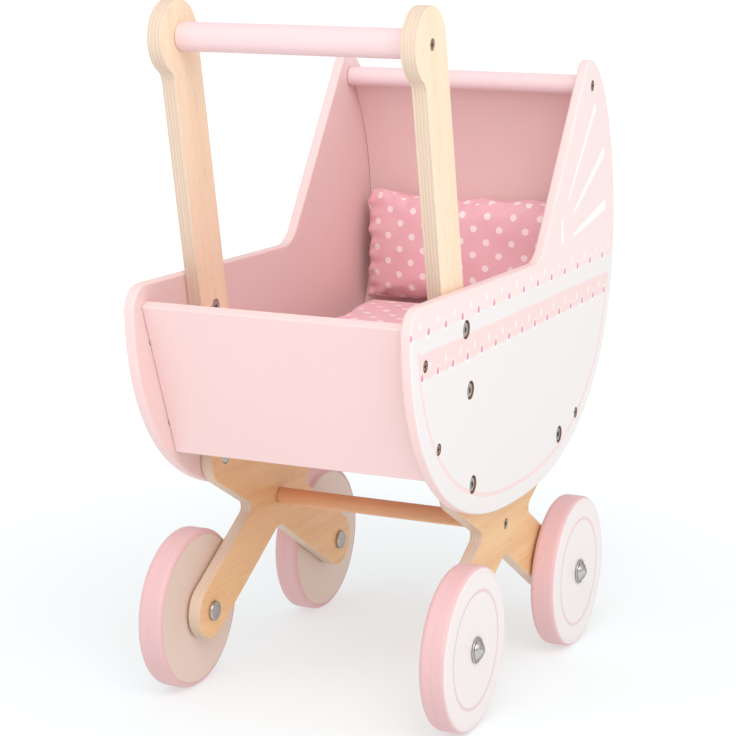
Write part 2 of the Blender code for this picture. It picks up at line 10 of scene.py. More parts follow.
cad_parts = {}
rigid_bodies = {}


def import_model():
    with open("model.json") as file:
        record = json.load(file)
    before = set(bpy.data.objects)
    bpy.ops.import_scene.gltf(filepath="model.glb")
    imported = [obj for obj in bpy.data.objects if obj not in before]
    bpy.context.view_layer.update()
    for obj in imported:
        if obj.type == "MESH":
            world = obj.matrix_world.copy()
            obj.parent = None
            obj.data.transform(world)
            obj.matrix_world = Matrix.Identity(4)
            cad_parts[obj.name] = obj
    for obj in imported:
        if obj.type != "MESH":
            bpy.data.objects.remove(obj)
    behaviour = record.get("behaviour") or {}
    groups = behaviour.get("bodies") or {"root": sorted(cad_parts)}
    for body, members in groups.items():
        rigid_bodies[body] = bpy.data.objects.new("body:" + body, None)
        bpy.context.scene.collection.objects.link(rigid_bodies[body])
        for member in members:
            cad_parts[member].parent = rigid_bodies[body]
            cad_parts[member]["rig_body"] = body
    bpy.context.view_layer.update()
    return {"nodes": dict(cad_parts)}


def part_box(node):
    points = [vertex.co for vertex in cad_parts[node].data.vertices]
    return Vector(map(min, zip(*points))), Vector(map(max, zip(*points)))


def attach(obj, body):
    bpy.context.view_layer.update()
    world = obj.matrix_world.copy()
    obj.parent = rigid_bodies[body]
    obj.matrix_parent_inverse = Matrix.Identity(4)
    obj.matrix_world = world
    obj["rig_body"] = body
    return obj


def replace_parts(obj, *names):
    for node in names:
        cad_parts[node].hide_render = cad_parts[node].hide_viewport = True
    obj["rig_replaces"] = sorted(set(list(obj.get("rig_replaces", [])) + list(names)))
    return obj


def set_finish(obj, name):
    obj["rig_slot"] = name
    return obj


bl_info = {
    "name": "Doll stroller",
    "version": (1, 0, 0),
    "blender": (4, 5, 0),
    "location": "View3D > Sidebar > Stroller",
    "description": "Builds a toy pram from its painted boards, ply, dowels, wheels, hardware and bedding",
    "category": "Object",
}

for old in list(bpy.data.objects):
    bpy.data.objects.remove(old, do_unlink=True)
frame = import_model()

MM = 0.001
SHARP_ANGLE = math.radians(28)
SAME_POINT = 0.00002
AXLE_HOLE = 0.0033
THIN_EDGE = 0.0006


def middle_of(node):
    low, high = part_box(node)
    return (low + high) * 0.5


PANEL_LOW, PANEL_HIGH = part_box("side_panel_right")
HALF_LENGTH = PANEL_HIGH.y
BELLY_HEIGHT = PANEL_LOW.z
HOOD_HEIGHT = PANEL_HIGH.z
RIM_HEIGHT = 0.3517
INSIDE = PANEL_LOW.x
OUTSIDE = PANEL_HIGH.x
LEG_CENTRE = middle_of("leg_plate_right").y
AXLE_FRONT = middle_of("wheel_front_right")
AXLE_REAR = middle_of("wheel_rear_right")
AXLE_SPREAD = AXLE_REAR.y - LEG_CENTRE


def linear(red, green, blue):
    """A display colour of 0 to 255 as the light it gives back."""
    def one(c):
        c /= 255
        return c / 12.92 if c <= 0.04045 else ((c + 0.055) / 1.055) ** 2.4
    return one(red), one(green), one(blue)


def length_prop(name, description, default):
    return bpy.props.FloatProperty(
        name=name, description=description, default=default, min=0.0, subtype="DISTANCE", unit="LENGTH",
    )


def colour_prop(name, description, *default):
    return bpy.props.FloatVectorProperty(
        name=name, description=description, default=linear(*default), size=3, min=0, max=1, subtype="COLOR",
    )


class StrollerSizes(bpy.types.PropertyGroup):
    """Sizes of the details that finish the pieces."""

    board_round: length_prop("Board rounding", "Radius along the rims of the painted side boards", 0.0022)
    thin_round: length_prop("Panel rounding", "Radius along the rims of the inner boards", 0.0014)
    ply_round: length_prop("Ply rounding", "Radius along the rims of the posts and legs", 0.0009)
    ply_layer: length_prop("Ply layer", "Thickness of one layer of the birch ply", 0.00139)
    recess_break: length_prop("Hole break", "Chamfer at the mouth of each counterbored hole", 0.0004)
    tread_round: length_prop("Tread rounding", "Radius of the tread's two shoulders", 0.0046)
    cloth_cell: length_prop("Cloth cell", "Size of the cloth's squares while it is filled", 0.0048)
    mattress_swell: length_prop("Mattress swell", "Furthest that the mattress may swell", 0.0075)
    pillow_swell: length_prop("Pillow swell", "Furthest that the pillow may swell", 0.0065)
    dot_size: length_prop("Dot size", "Diameter of the printed dots", 0.0062)
    dot_column: length_prop("Dot column", "Distance between dots along a row", 0.0245)
    dot_row: length_prop("Dot row", "Distance between two rows of dots", 0.0118)


class StrollerColours(bpy.types.PropertyGroup):
    """Colours of the paints, woods and cloth."""

    paint: colour_prop("Pink paint", "Board edges and inner boards", 238, 206, 204)
    face: colour_prop("White face", "Ground of the printed sides", 235, 228, 227)
    pale: colour_prop("Pale pink", "Upper band and hood of the printed sides", 242, 220, 217)
    band: colour_prop("Band pink", "Lower scalloped band", 241, 211, 208)
    drop: colour_prop("Drop pink", "Small drops between the scallops", 226, 140, 164)
    bar: colour_prop("Dowel paint", "Handle bar and hood bar", 234, 204, 206)
    birch: colour_prop("Birch face", "Light grain of the ply's face", 248, 222, 194)
    birch_dark: colour_prop("Birch grain", "Dark grain of the ply's face", 244, 210, 176)
    # Painted shade: the legs' colours are a darker, oranger copy of the birch colours, standing in for the
    # shade under the pram.
    leg: colour_prop("Leg face", "Light grain of the legs' face", 238, 194, 144)
    leg_dark: colour_prop("Leg grain", "Dark grain of the legs' face", 228, 176, 124)
    # Painted shade: the bare recess colour is much darker than bare wood, standing in for the shade down
    # inside the recesses.
    bare_board_and_shade: colour_prop("Bare recess", "Bare board inside the screw recesses", 150, 104, 80)
    layer_light: colour_prop("Light layer", "Light layers at the ply's edge", 226, 204, 184)
    layer_dark: colour_prop("Dark layer", "Dark layers at the ply's edge", 210, 184, 162)
    dowel: colour_prop("Bare dowel", "Cross dowel between the legs", 236, 176, 130)
    wheel: colour_prop("Wheel face", "Lacquered faces of the wheels", 240, 230, 229)
    wheel_back: colour_prop("Wheel back", "Flat inner faces of the wheels", 226, 204, 191)
    tread: colour_prop("Tread pink", "Painted treads of the wheels", 225, 183, 184)
    steel: colour_prop("Steel", "Bolts, nuts and hub caps", 200, 196, 194)
    screw: colour_prop("Screw", "Yellow-plated wood screws", 176, 146, 116)
    cloth: colour_prop("Cloth", "Ground of the dotted cloth", 240, 189, 197)
    dot: colour_prop("Dot", "Printed dots", 252, 234, 234)


# Shaping tools.


def only(piece):
    """Selects this piece alone, as the active one."""
    bpy.ops.object.select_all(action="DESELECT")
    piece.select_set(True)
    bpy.context.view_layer.objects.active = piece


def start_edit(piece):
    only(piece)
    bpy.ops.object.mode_set(mode="EDIT")
    bpy.ops.mesh.select_all(action="DESELECT")
    return bmesh.from_edit_mesh(piece.data)


def end_edit(piece):
    bmesh.update_edit_mesh(piece.data)
    bpy.ops.object.mode_set(mode="OBJECT")


def settle(piece, angle=SHARP_ANGLE):
    """Smooth shading with flat faces kept flat."""
    only(piece)
    bpy.ops.object.shade_smooth_by_angle(angle=angle)
    weighted = piece.modifiers.new("flat faces", "WEIGHTED_NORMAL")
    weighted.keep_sharp = True
    bpy.ops.object.modifier_apply(modifier=weighted.name)


def ring_of(name, points, filled):
    """A circle primitive whose points are moved onto this chain of world points."""
    bpy.ops.object.select_all(action="DESELECT")
    fill = "NGON" if filled else "NOTHING"
    bpy.ops.mesh.primitive_circle_add(vertices=len(points), radius=0.05, fill_type=fill, location=(0, 0, 0))
    piece = bpy.context.object
    piece.name = piece.data.name = name
    for vertex, point in zip(piece.data.vertices, points):
        vertex.co = point
    return piece


def plate(name, outline, low, high, edge, segments=4):
    """A board of this (y, z) outline between two X planes, with rounded rims."""
    piece = ring_of(name, [(low, y, z) for y, z in outline], True)
    start_edit(piece)
    bpy.ops.mesh.select_all(action="SELECT")
    bpy.ops.mesh.extrude_region_move(TRANSFORM_OT_translate={"value": (high - low, 0, 0)})
    bpy.ops.mesh.select_all(action="SELECT")
    bpy.ops.mesh.normals_make_consistent(inside=False)
    bpy.ops.mesh.select_all(action="DESELECT")
    bpy.ops.mesh.select_mode(type="EDGE")
    mesh = bmesh.from_edit_mesh(piece.data)
    for side in mesh.edges:
        a, b = side.verts
        side.select_set(abs(a.co.x - b.co.x) < 1e-6)
    bmesh.update_edit_mesh(piece.data)
    bpy.ops.mesh.bevel(offset=edge, segments=segments, affect="EDGES", profile=0.5)
    bpy.ops.mesh.select_mode(type="VERT")
    end_edit(piece)
    return piece


def turned(name, section, y, z, steps=64):
    """A closed section of (x, radius) points spun about the X line through (y, z)."""
    piece = ring_of(name, [(x, y + radius, z) for x, radius in section], False)
    start_edit(piece)
    bpy.ops.mesh.select_all(action="SELECT")
    bpy.ops.mesh.spin(steps=steps, angle=math.tau, center=(0, y, z), axis=(1, 0, 0))
    bpy.ops.mesh.select_all(action="SELECT")
    bpy.ops.mesh.remove_doubles(threshold=2e-6)
    bpy.ops.mesh.delete_loose()
    bpy.ops.mesh.select_all(action="SELECT")
    bpy.ops.mesh.normals_make_consistent(inside=False)
    bpy.ops.mesh.select_all(action="DESELECT")
    end_edit(piece)
    return piece


def volume_of(piece):
    mesh = bmesh.new()
    mesh.from_mesh(piece.data)
    volume = mesh.calc_volume(signed=True)
    mesh.free()
    return volume


def cut(piece, *cutters):
    """Takes the cutters out of the piece in one go, and removes them."""
    only(cutters[0])
    for cutter in cutters[1:]:
        cutter.select_set(True)
    if len(cutters) > 1:
        bpy.ops.object.join()
    joined = bpy.context.object
    before = volume_of(piece)
    only(piece)
    boolean = piece.modifiers.new("hole", "BOOLEAN")
    boolean.operation = "DIFFERENCE"
    boolean.solver = "EXACT"
    boolean.object = joined
    bpy.ops.object.modifier_apply(modifier=boolean.name)
    bpy.data.objects.remove(joined, do_unlink=True)
    if not 0.6 * before < volume_of(piece) < before:
        raise RuntimeError(f"{piece.name}: a hole took {before} to {volume_of(piece)} cubic metres")


def cutter_of(section, at):
    return turned("cutter", section, *at, 40)


def drill(at, inner, outer, hole, recess_radius, recess, chamfer):
    """The cutter for a hole from X = inner to X = outer that opens at outer into a chamfered recess."""
    d = math.copysign(1, outer - inner)
    section = (
        (inner - d * 2 * MM, 0), (inner - d * 2 * MM, hole), (outer - d * recess, hole),
        (outer - d * recess, recess_radius), (outer - d * chamfer, recess_radius),
        (outer + d * chamfer, recess_radius + 2 * chamfer), (outer + d * chamfer, 0),
    )
    return cutter_of(section, at)


def bore(at, low, high, radius):
    """The cutter for a plain through hole."""
    return cutter_of(((low, 0), (low, radius), (high, radius), (high, 0)), at)


def hex_socket(piece, at, low, high, radius):
    """Cuts the hole for a hexagonal key."""
    bpy.ops.object.select_all(action="DESELECT")
    bpy.ops.mesh.primitive_cylinder_add(
        vertices=6, radius=radius, depth=abs(high - low), location=((low + high) * 0.5, at[0], at[1]),
        rotation=(0, math.pi / 2, 0),
    )
    cutter = bpy.context.object
    bpy.ops.object.transform_apply(location=True, rotation=True, scale=True)
    cut(piece, cutter)


def cross_slot(piece, at, low, high, reach, width):
    """Cuts the two slots of a cross-head screw."""
    for size in ((reach, width), (width, reach)):
        bpy.ops.object.select_all(action="DESELECT")
        bpy.ops.mesh.primitive_cube_add(size=1, location=((low + high) * 0.5, at[0], at[1]))
        cutter = bpy.context.object
        cutter.scale = (abs(high - low), *size)
        bpy.ops.object.transform_apply(location=True, rotation=True, scale=True)
        cut(piece, cutter)


def copy_of(piece, name, matrix):
    """A copy with its own mesh, moved or mirrored by the matrix."""
    made = piece.copy()
    made.data = piece.data.copy()
    made.name = made.data.name = name
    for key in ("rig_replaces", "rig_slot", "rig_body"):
        if key in made:
            del made[key]
    bpy.context.scene.collection.objects.link(made)
    made.data.transform(matrix)
    if matrix.determinant() < 0:
        start_edit(made)
        bpy.ops.mesh.select_all(action="SELECT")
        bpy.ops.mesh.flip_normals()
        bpy.ops.mesh.select_all(action="DESELECT")
        end_edit(made)
        settle(made)
    return made


MIRROR = Matrix.Diagonal((-1, 1, 1, 1))


def finish_piece(piece, surface, slot, body, *nodes):
    """Gives the piece its material, and says its slot, its body and the nodes that it replaces."""
    piece.data.materials.clear()
    piece.data.materials.append(surface)
    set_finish(piece, slot)
    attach(piece, body)
    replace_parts(piece, *nodes)


def finish_both_sides(piece, label, surface, slot, node):
    """Mirrors the right-hand piece into a left-hand one, and finishes the two."""
    other = copy_of(piece, label + "_left", MIRROR)
    for made, side in ((piece, "right"), (other, "left")):
        finish_piece(made, surface, slot, "frame", f"{node}_{side}")


# Outlines, in the side view's (y, z).


def steps_between(first, last, count):
    return [first + (last - first) * k / count for k in range(count + 1)]


def place(u, v):
    """A point of the side view from its fractions."""
    if v <= 1:
        return u * HALF_LENGTH, BELLY_HEIGHT + v * (RIM_HEIGHT - BELLY_HEIGHT)
    return u * HALF_LENGTH, RIM_HEIGHT + (v - 1) * (HOOD_HEIGHT - RIM_HEIGHT)


def superellipse(centre, half_y, half_z, power, angles):
    points = []
    for a in angles:
        c, s = math.cos(a), math.sin(a)
        points.append((
            centre[0] + half_y * math.copysign(abs(c) ** (2 / power), c),
            centre[1] + half_z * math.copysign(abs(s) ** (2 / power), s),
        ))
    return points


def filleted(corners, steps, closest=0.0003):
    """A closed polygon of (y, z, radius) corners, each one rounded."""
    drawn = []
    count = len(corners)
    for i, (y, z, radius) in enumerate(corners):
        here = Vector((y, z))
        to_last = (Vector(corners[i - 1][:2]) - here).normalized()
        to_next = (Vector(corners[(i + 1) % count][:2]) - here).normalized()
        half = 0.5 * math.acos(max(-1, min(1, to_last.dot(to_next))))
        if radius == 0 or half > 0.49 * math.pi:
            drawn.append((y, z))
            continue
        centre = here + (to_last + to_next).normalized() * (radius / math.sin(half))
        start = here + to_last * (radius / math.tan(half)) - centre
        end = here + to_next * (radius / math.tan(half)) - centre
        sweep = start.angle_signed(end)
        for k in range(steps + 1):
            a = -sweep * k / steps
            drawn.append((
                centre.x + start.x * math.cos(a) - start.y * math.sin(a),
                centre.y + start.x * math.sin(a) + start.y * math.cos(a),
            ))
    kept = []
    for point in drawn:
        if not kept or math.dist(point, kept[-1]) > closest:
            kept.append(point)
    return kept if math.dist(kept[0], kept[-1]) > closest else kept[:-1]


BELLY_POWERS = (2.40, 2.29)
HOOD_POWER = 1.82
RIM_CORNER = 0.020
HOOD_FOOT = 0.179
HOOD_TIP = 0.636
HOOD_CROWN = 0.664
HOOD_FOOT_RADIUS = 0.028
HOOD_TIP_RADIUS = 0.010


def panel_outline():
    """The side board: a superellipse belly, a quarter of one for the hood's back, and rounded corners."""
    depth = RIM_HEIGHT - BELLY_HEIGHT
    quarter = 0.5 * math.pi
    rim = (0, RIM_HEIGHT)
    turns = steps_between(2 * quarter, 3 * quarter, 44)
    front = superellipse(rim, HALF_LENGTH, depth, BELLY_POWERS[0], turns)
    turns = steps_between(3 * quarter, 4 * quarter, 44)
    rear = superellipse(rim, HALF_LENGTH, depth, BELLY_POWERS[1], turns)
    crown = (HOOD_CROWN * HALF_LENGTH, RIM_HEIGHT)
    turns = steps_between(0, quarter, 34)
    back = superellipse(crown, HALF_LENGTH - crown[0], HOOD_HEIGHT - RIM_HEIGHT, HOOD_POWER, turns)
    corners = [(-HALF_LENGTH, RIM_HEIGHT, RIM_CORNER)]
    corners += [(y, z, 0) for y, z in front[1:-1] if z < RIM_HEIGHT - 1.05 * RIM_CORNER]
    corners += [(y, z, 0) for y, z in rear[:-1] + back]
    corners += [
        (HOOD_TIP * HALF_LENGTH, HOOD_HEIGHT, HOOD_TIP_RADIUS),
        (HOOD_FOOT * HALF_LENGTH, RIM_HEIGHT, HOOD_FOOT_RADIUS),
    ]
    return filleted(corners, 14, 0.0008)


def inset(outline, distance):
    """The closed anticlockwise outline moved inwards along its point normals."""
    moved = []
    count = len(outline)
    for i, (y, z) in enumerate(outline):
        (y0, z0), (y1, z1) = outline[i - 1], outline[(i + 1) % count]
        before = Vector((y - y0, z - z0)).normalized()
        after = Vector((y1 - y, z1 - z)).normalized()
        along = (before + after).normalized()
        stretch = 1 / max(0.5, along.dot(after))
        moved.append((y - along.y * distance * stretch, z + along.x * distance * stretch))
    return moved


HOOD_INSET = 0.0225
HOOD_SHEET = 0.004
HOOD_BAR_RADIUS = 0.009
HOOD_START = -0.70
HOOD_BAR = middle_of("hood_bar")


def hood_curve(distance):
    """The rear of the side outline moved inwards, from the hood bar down to the bed board."""
    low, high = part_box("bed_board")[0].z + MM, HOOD_BAR.z - HOOD_BAR_RADIUS - 0.012
    outline = panel_outline()
    heights = [z for _, z in outline]
    rear = inset(outline, distance)[heights.index(min(heights)):heights.index(max(heights))]
    return [(y, z) for y, z in reversed(rear) if low < z < high]


POST_HALF_WIDTH = 0.0215
POST_EYE_RADIUS = 0.029
POST_NECK_RADIUS = 0.012
POST_EYE_RISE = 0.2762
POST_TOP_BOLT = middle_of("post_bolt_upper_right")
POST_LOW_BOLT = middle_of("post_bolt_lower_right")


def post_frame():
    """Lower bolt, up direction and rearward normal of the handle posts."""
    upper, lower = Vector((POST_TOP_BOLT.y, POST_TOP_BOLT.z)), Vector((POST_LOW_BOLT.y, POST_LOW_BOLT.z))
    up = (upper - lower).normalized()
    return lower, up, Vector((up.y, -up.x))


def post_outline():
    """A straight shaft with a round foot, and a round eye that a hollow neck joins at the front."""
    lower, up, rear = post_frame()
    half, eye, neck = POST_HALF_WIDTH, POST_EYE_RADIUS, POST_NECK_RADIUS
    offset = half - eye
    drop = math.sqrt((eye + neck) ** 2 - (offset + half + neck) ** 2)
    local = [(-half * math.sin(a), -half * math.cos(a)) for a in steps_between(0, math.pi, 26)]
    start = math.atan2(-drop, -(half + neck + offset))
    turn = steps_between(0, 2 * math.pi + start, 48)
    local += [(POST_EYE_RISE + eye * math.sin(a), offset + eye * math.cos(a)) for a in turn]
    for a in steps_between(start + math.pi, 0, 14)[1:]:
        local.append((POST_EYE_RISE - drop + neck * math.sin(a), -half - neck + neck * math.cos(a)))
    return [tuple(lower + up * s + rear * w) for s, w in local]


LEG_LOBE_RADIUS = 0.024
LEG_HALF_WIDTH = 0.0235
LEG_KNEE_HEIGHT = 0.1394
LEG_LOBE_SLOPE = 28.0
LEG_NOTCH_RADIUS = 0.006
LEG_CROTCH_RADIUS = 0.015
LEG_BOLT = middle_of("leg_bolt_rear_right")


def leg_outline():
    """Half of the leg plate, then its mirror image about the leg centre."""
    knee = Vector((0, LEG_KNEE_HEIGHT))
    wheel = Vector((AXLE_SPREAD, AXLE_REAR.z))
    along = (wheel - knee).normalized()
    across = Vector((-along.y, along.x))
    width = LEG_HALF_WIDTH
    tip = wheel + along * width
    bolt = Vector((LEG_BOLT.y - LEG_CENTRE, LEG_BOLT.z))
    slope = math.radians(LEG_LOBE_SLOPE)
    lobe = LEG_LOBE_RADIUS
    touch = bolt + Vector((math.sin(slope), -math.cos(slope))) * lobe
    side = bolt.x + lobe
    heel = Vector((side, touch.y + (side - touch.x) * math.tan(slope)))
    start = wheel + across * width
    steep = along.y / along.x
    notch_y = (start.y - touch.y + touch.x * math.tan(slope) - start.x * steep) / (math.tan(slope) - steep)
    notch = Vector((notch_y, touch.y + (notch_y - touch.x) * math.tan(slope)))
    crotch = Vector((0, LEG_KNEE_HEIGHT - width / along.x))
    corners = [
        (crotch.x, crotch.y, LEG_CROTCH_RADIUS),
        (*(tip - across * width), width), (*(tip + across * width), width),
        (*notch, LEG_NOTCH_RADIUS), (*heel, lobe), (side, bolt.y + lobe, lobe),
    ]
    mirrored = [(-y, z, radius) for y, z, radius in reversed(corners[1:])]
    return [(LEG_CENTRE + y, z) for y, z in filleted(corners + mirrored, 16, 0.0002)]


# Materials.


class Web:
    """Adds nodes to one tree, each set to the right of the last."""

    def __init__(self, tree):
        self.tree = tree
        self.count = 0

    def add(self, kind, **settings):
        node = self.tree.nodes.new(kind)
        node.location = (190 * (self.count // 5), -220 * (self.count % 5))
        self.count += 1
        for key, value in settings.items():
            setattr(node, key, value)
        return node

    def put(self, socket, value):
        if isinstance(value, bpy.types.NodeSocket):
            self.tree.links.new(value, socket)
        elif hasattr(value, "__len__") and len(value) == 3 and socket.type == "RGBA":
            socket.default_value = (*value, 1)
        else:
            socket.default_value = value

    def math(self, operation, *values, clamp=False):
        node = self.add("ShaderNodeMath", operation=operation, use_clamp=clamp)
        for socket, value in zip(node.inputs, values):
            self.put(socket, value)
        return node.outputs[0]

    def sum(self, first, *rest):
        for value in rest:
            first = self.math("ADD", first, value)
        return first

    def times(self, first, *rest):
        for value in rest:
            first = self.math("MULTIPLY", first, value)
        return first

    def minus(self, a, b):
        return self.math("SUBTRACT", a, b)

    def step(self, value, low, high, to_low=0.0, to_high=1.0):
        """A smooth rise from to_low at low to to_high at high."""
        node = self.add("ShaderNodeMapRange", interpolation_type="SMOOTHSTEP")
        for socket, v in zip(node.inputs, (value, low, high, to_low, to_high)):
            self.put(socket, v)
        return node.outputs[0]

    def mix(self, factor, a, b, kind="MIX"):
        node = self.add("ShaderNodeMix", data_type="RGBA", blend_type=kind)
        self.put(node.inputs[0], factor)
        self.put(node.inputs[6], a)
        self.put(node.inputs[7], b)
        return node.outputs[2]

    def shaded(self, colour, level):
        """The colour times a grey level."""
        return self.mix(1.0, colour, self.joined(level, level, level), "MULTIPLY")

    def length(self, a, b):
        """The length of the side across from a right angle."""
        return self.math("SQRT", self.sum(self.times(a, a), self.times(b, b)))

    def turned(self, vector, turn):
        """The vector turned by these angles about the three axes."""
        node = self.add("ShaderNodeMapping")
        node.inputs["Rotation"].default_value = turn
        self.put(node.inputs["Vector"], vector)
        return node.outputs[0]

    def scaled(self, vector, factors):
        node = self.add("ShaderNodeVectorMath", operation="MULTIPLY")
        self.put(node.inputs[0], vector)
        node.inputs[1].default_value = factors
        return node.outputs[0]

    def parts(self, vector):
        node = self.add("ShaderNodeSeparateXYZ")
        self.put(node.inputs[0], vector)
        return node.outputs[0], node.outputs[1], node.outputs[2]

    def joined(self, x, y, z):
        node = self.add("ShaderNodeCombineXYZ")
        for socket, value in zip(node.inputs, (x, y, z)):
            self.put(socket, value)
        return node.outputs[0]

    def noise(self, vector, scale, detail=2.0, roughness=0.5):
        node = self.add("ShaderNodeTexNoise")
        self.put(node.inputs["Vector"], vector)
        for name, value in (("Scale", scale), ("Detail", detail), ("Roughness", roughness)):
            self.put(node.inputs[name], value)
        return node.outputs[0]

    def group(self, tree, **inputs):
        node = self.add("ShaderNodeGroup")
        node.node_tree = tree
        for name, value in inputs.items():
            self.put(node.inputs[name.replace("_", " ")], value)
        return node.outputs


def node_group(name, inputs, outputs):
    """An empty group with named sockets: its web, the entry's sockets and the exit node."""
    tree = bpy.data.node_groups.new(name, "ShaderNodeTree")
    kinds = {"v": "NodeSocketVector", "f": "NodeSocketFloat", "c": "NodeSocketColor"}
    for label, kind in inputs:
        tree.interface.new_socket(name=label, in_out="INPUT", socket_type=kinds[kind])
    for label, kind in outputs:
        tree.interface.new_socket(name=label, in_out="OUTPUT", socket_type=kinds[kind])
    web = Web(tree)
    entry = web.add("NodeGroupInput")
    leave = web.add("NodeGroupOutput")
    return tree, web, entry.outputs, leave.inputs


def once(build):
    """Keeps what the builder makes, so that it is made one time only."""
    kept = {}

    def give(*key):
        if key not in kept:
            kept[key] = build(*key)
        return kept[key]
    return give


@once
def brushed_paint():
    """Lacquer over wood: soft clouding, a faint grain from the board below, and orange peel."""
    tree, web, given, out = node_group(
        "brushed paint", (("Vector", "v"), ("Colour", "c"), ("Clouding", "f")),
        (("Colour", "c"), ("Roughness", "f"), ("Height", "f")),
    )
    cloud = web.noise(given["Vector"], 14.0, 3.0)
    grain = web.noise(web.scaled(given["Vector"], (900, 30, 900)), 1.0, 2.0)
    peel = web.noise(given["Vector"], 620.0, 1.0)
    uneven = web.sum(web.minus(cloud, 0.5), web.times(web.minus(grain, 0.5), 0.25))
    level = web.sum(1.0, web.times(uneven, given["Clouding"]))
    web.put(out["Colour"], web.shaded(given["Colour"], level))
    web.put(out["Roughness"], web.sum(0.36, web.times(cloud, 0.16), web.times(peel, 0.05)))
    web.put(out["Height"], web.sum(web.times(peel, 0.6), web.times(grain, 0.4)))
    return tree


@once
def birch_face():
    """Rotary-cut birch: long soft grain, a wide figure, and short dark flecks."""
    tree, web, given, out = node_group(
        "birch face", (("Vector", "v"), ("Light", "c"), ("Dark", "c")),
        (("Colour", "c"), ("Roughness", "f"), ("Height", "f")),
    )
    bend = web.times(web.minus(web.noise(web.scaled(given["Vector"], (6, 6, 2.2)), 1.0, 1.0), 0.5), 0.030)
    x, y, z = web.parts(given["Vector"])
    bent = web.joined(x, web.sum(y, bend), z)
    figure = web.noise(web.scaled(bent, (40, 95, 5)), 1.0, 3.0, 0.55)
    fibre = web.noise(web.scaled(bent, (700, 1500, 26)), 1.0, 2.0)
    fleck = web.step(web.noise(web.scaled(bent, (400, 620, 70)), 1.0, 0.0), 0.735, 0.79)
    tone = web.sum(web.step(figure, 0.35, 0.72), web.times(web.minus(fibre, 0.5), 0.30))
    plain = web.mix(web.math("MULTIPLY", tone, 0.75, clamp=True), given["Light"], given["Dark"])
    web.put(out["Colour"], web.mix(web.times(fleck, 0.20), plain, linear(178, 124, 82)))
    web.put(out["Roughness"], web.sum(0.40, web.times(fibre, 0.14), web.times(fleck, 0.1)))
    web.put(out["Height"], web.minus(web.times(fibre, 0.7), web.times(fleck, 0.5)))
    return tree


@once
def ply_edge():
    """The sawn edge of ply: light and dark layers in turn, glue lines, and end-grain pores."""
    tree, web, given, out = node_group(
        "ply edge", (("Vector", "v"), ("Outer", "f"), ("Layer", "f"), ("Light", "c"), ("Dark", "c")),
        (("Colour", "c"), ("Roughness", "f"), ("Height", "f")),
    )
    x, _, _ = web.parts(given["Vector"])
    wander = web.times(web.minus(web.noise(given["Vector"], 34.0, 1.0), 0.5), 0.0007)
    below = web.sum(web.minus(given["Outer"], web.math("ABSOLUTE", x)), wander)
    depth = web.math("DIVIDE", below, given["Layer"])
    odd = web.step(web.math("PINGPONG", depth, 1.0), 0.42, 0.58)
    glue = web.step(web.math("ABSOLUTE", web.minus(web.math("FRACT", depth), 0.5)), 0.13, 0.02)
    pores = web.noise(web.scaled(given["Vector"], (2600, 1100, 1100)), 1.0, 1.0)
    streak = web.noise(web.scaled(given["Vector"], (2200, 60, 60)), 1.0, 2.0)
    tone = web.math("ADD", web.times(odd, 0.45), web.times(web.minus(streak, 0.5), 0.5), clamp=True)
    plain = web.mix(tone, given["Light"], given["Dark"])
    plain = web.mix(web.times(web.step(pores, 0.58, 0.75), odd, 0.25), plain, linear(170, 136, 110))
    worn = web.step(web.noise(web.scaled(given["Vector"], (620, 6, 6)), 1.0, 1.0), 0.40, 0.62)
    lines = web.times(glue, web.sum(0.12, web.times(worn, 0.45)))
    web.put(out["Colour"], web.mix(lines, plain, linear(146, 116, 98)))
    web.put(out["Roughness"], web.sum(0.55, web.times(pores, 0.2)))
    web.put(out["Height"], web.minus(web.times(pores, 0.6), web.times(glue, 0.5)))
    return tree


@once
def scallop_row():
    """A row of scallops hung below a sloping line, a drop at each cusp and a petal above each scallop."""
    tree, web, given, out = node_group(
        "scallop row", (("Y", "f"), ("Z", "f"), ("Start", "f"), ("Step", "f"), ("Base", "f"), ("Slope", "f")),
        (("Above", "f"), ("Drop", "f"), ("Light", "f")),
    )
    line = web.sum(given["Base"], web.times(given["Slope"], given["Y"]))
    h = web.minus(given["Z"], line)
    turn = web.math("DIVIDE", web.minus(given["Y"], given["Start"]), given["Step"])
    share = web.minus(web.math("FRACT", web.sum(turn, 0.5)), 0.5)
    away = web.times(web.math("ABSOLUTE", share), given["Step"])
    cusp = web.minus(1.0, web.times(web.math("ABSOLUTE", share), 2.0))
    arch = web.math("SQRT", web.math("SUBTRACT", 1.0, web.times(cusp, cusp), clamp=True))
    edge = web.minus(3.4, web.times(arch, 6.4))
    web.put(out["Above"], web.step(web.minus(h, edge), -0.5, 0.5))

    def tear(half_height, half_width, soft):
        v = web.math("DIVIDE", h, half_height)
        round_part = web.math("SQRT", web.math("SUBTRACT", 1.0, web.times(v, v), clamp=True))
        width = web.times(round_part, web.sum(half_width, web.times(v, -0.42 * half_width)))
        inside = web.math("LESS_THAN", web.math("ABSOLUTE", v), 1.0)
        return web.times(web.step(web.minus(width, away), -soft, soft), inside)

    drop = tear(3.1, 2.45, 0.45)
    halo = tear(4.5, 3.7, 0.9)
    web.put(out["Drop"], drop)
    across = web.math("DIVIDE", web.minus(web.times(given["Step"], 0.5), away), 1.9)
    above = web.math("DIVIDE", web.minus(h, 6.6), 3.4)
    petal_out = web.sum(web.math("POWER", across, 2.0), web.math("POWER", above, 2.0))
    petal = web.step(petal_out, 1.25, 0.75)
    web.put(out["Light"], web.math("MAXIMUM", web.times(halo, 0.9), web.times(petal, 0.75)))
    return tree


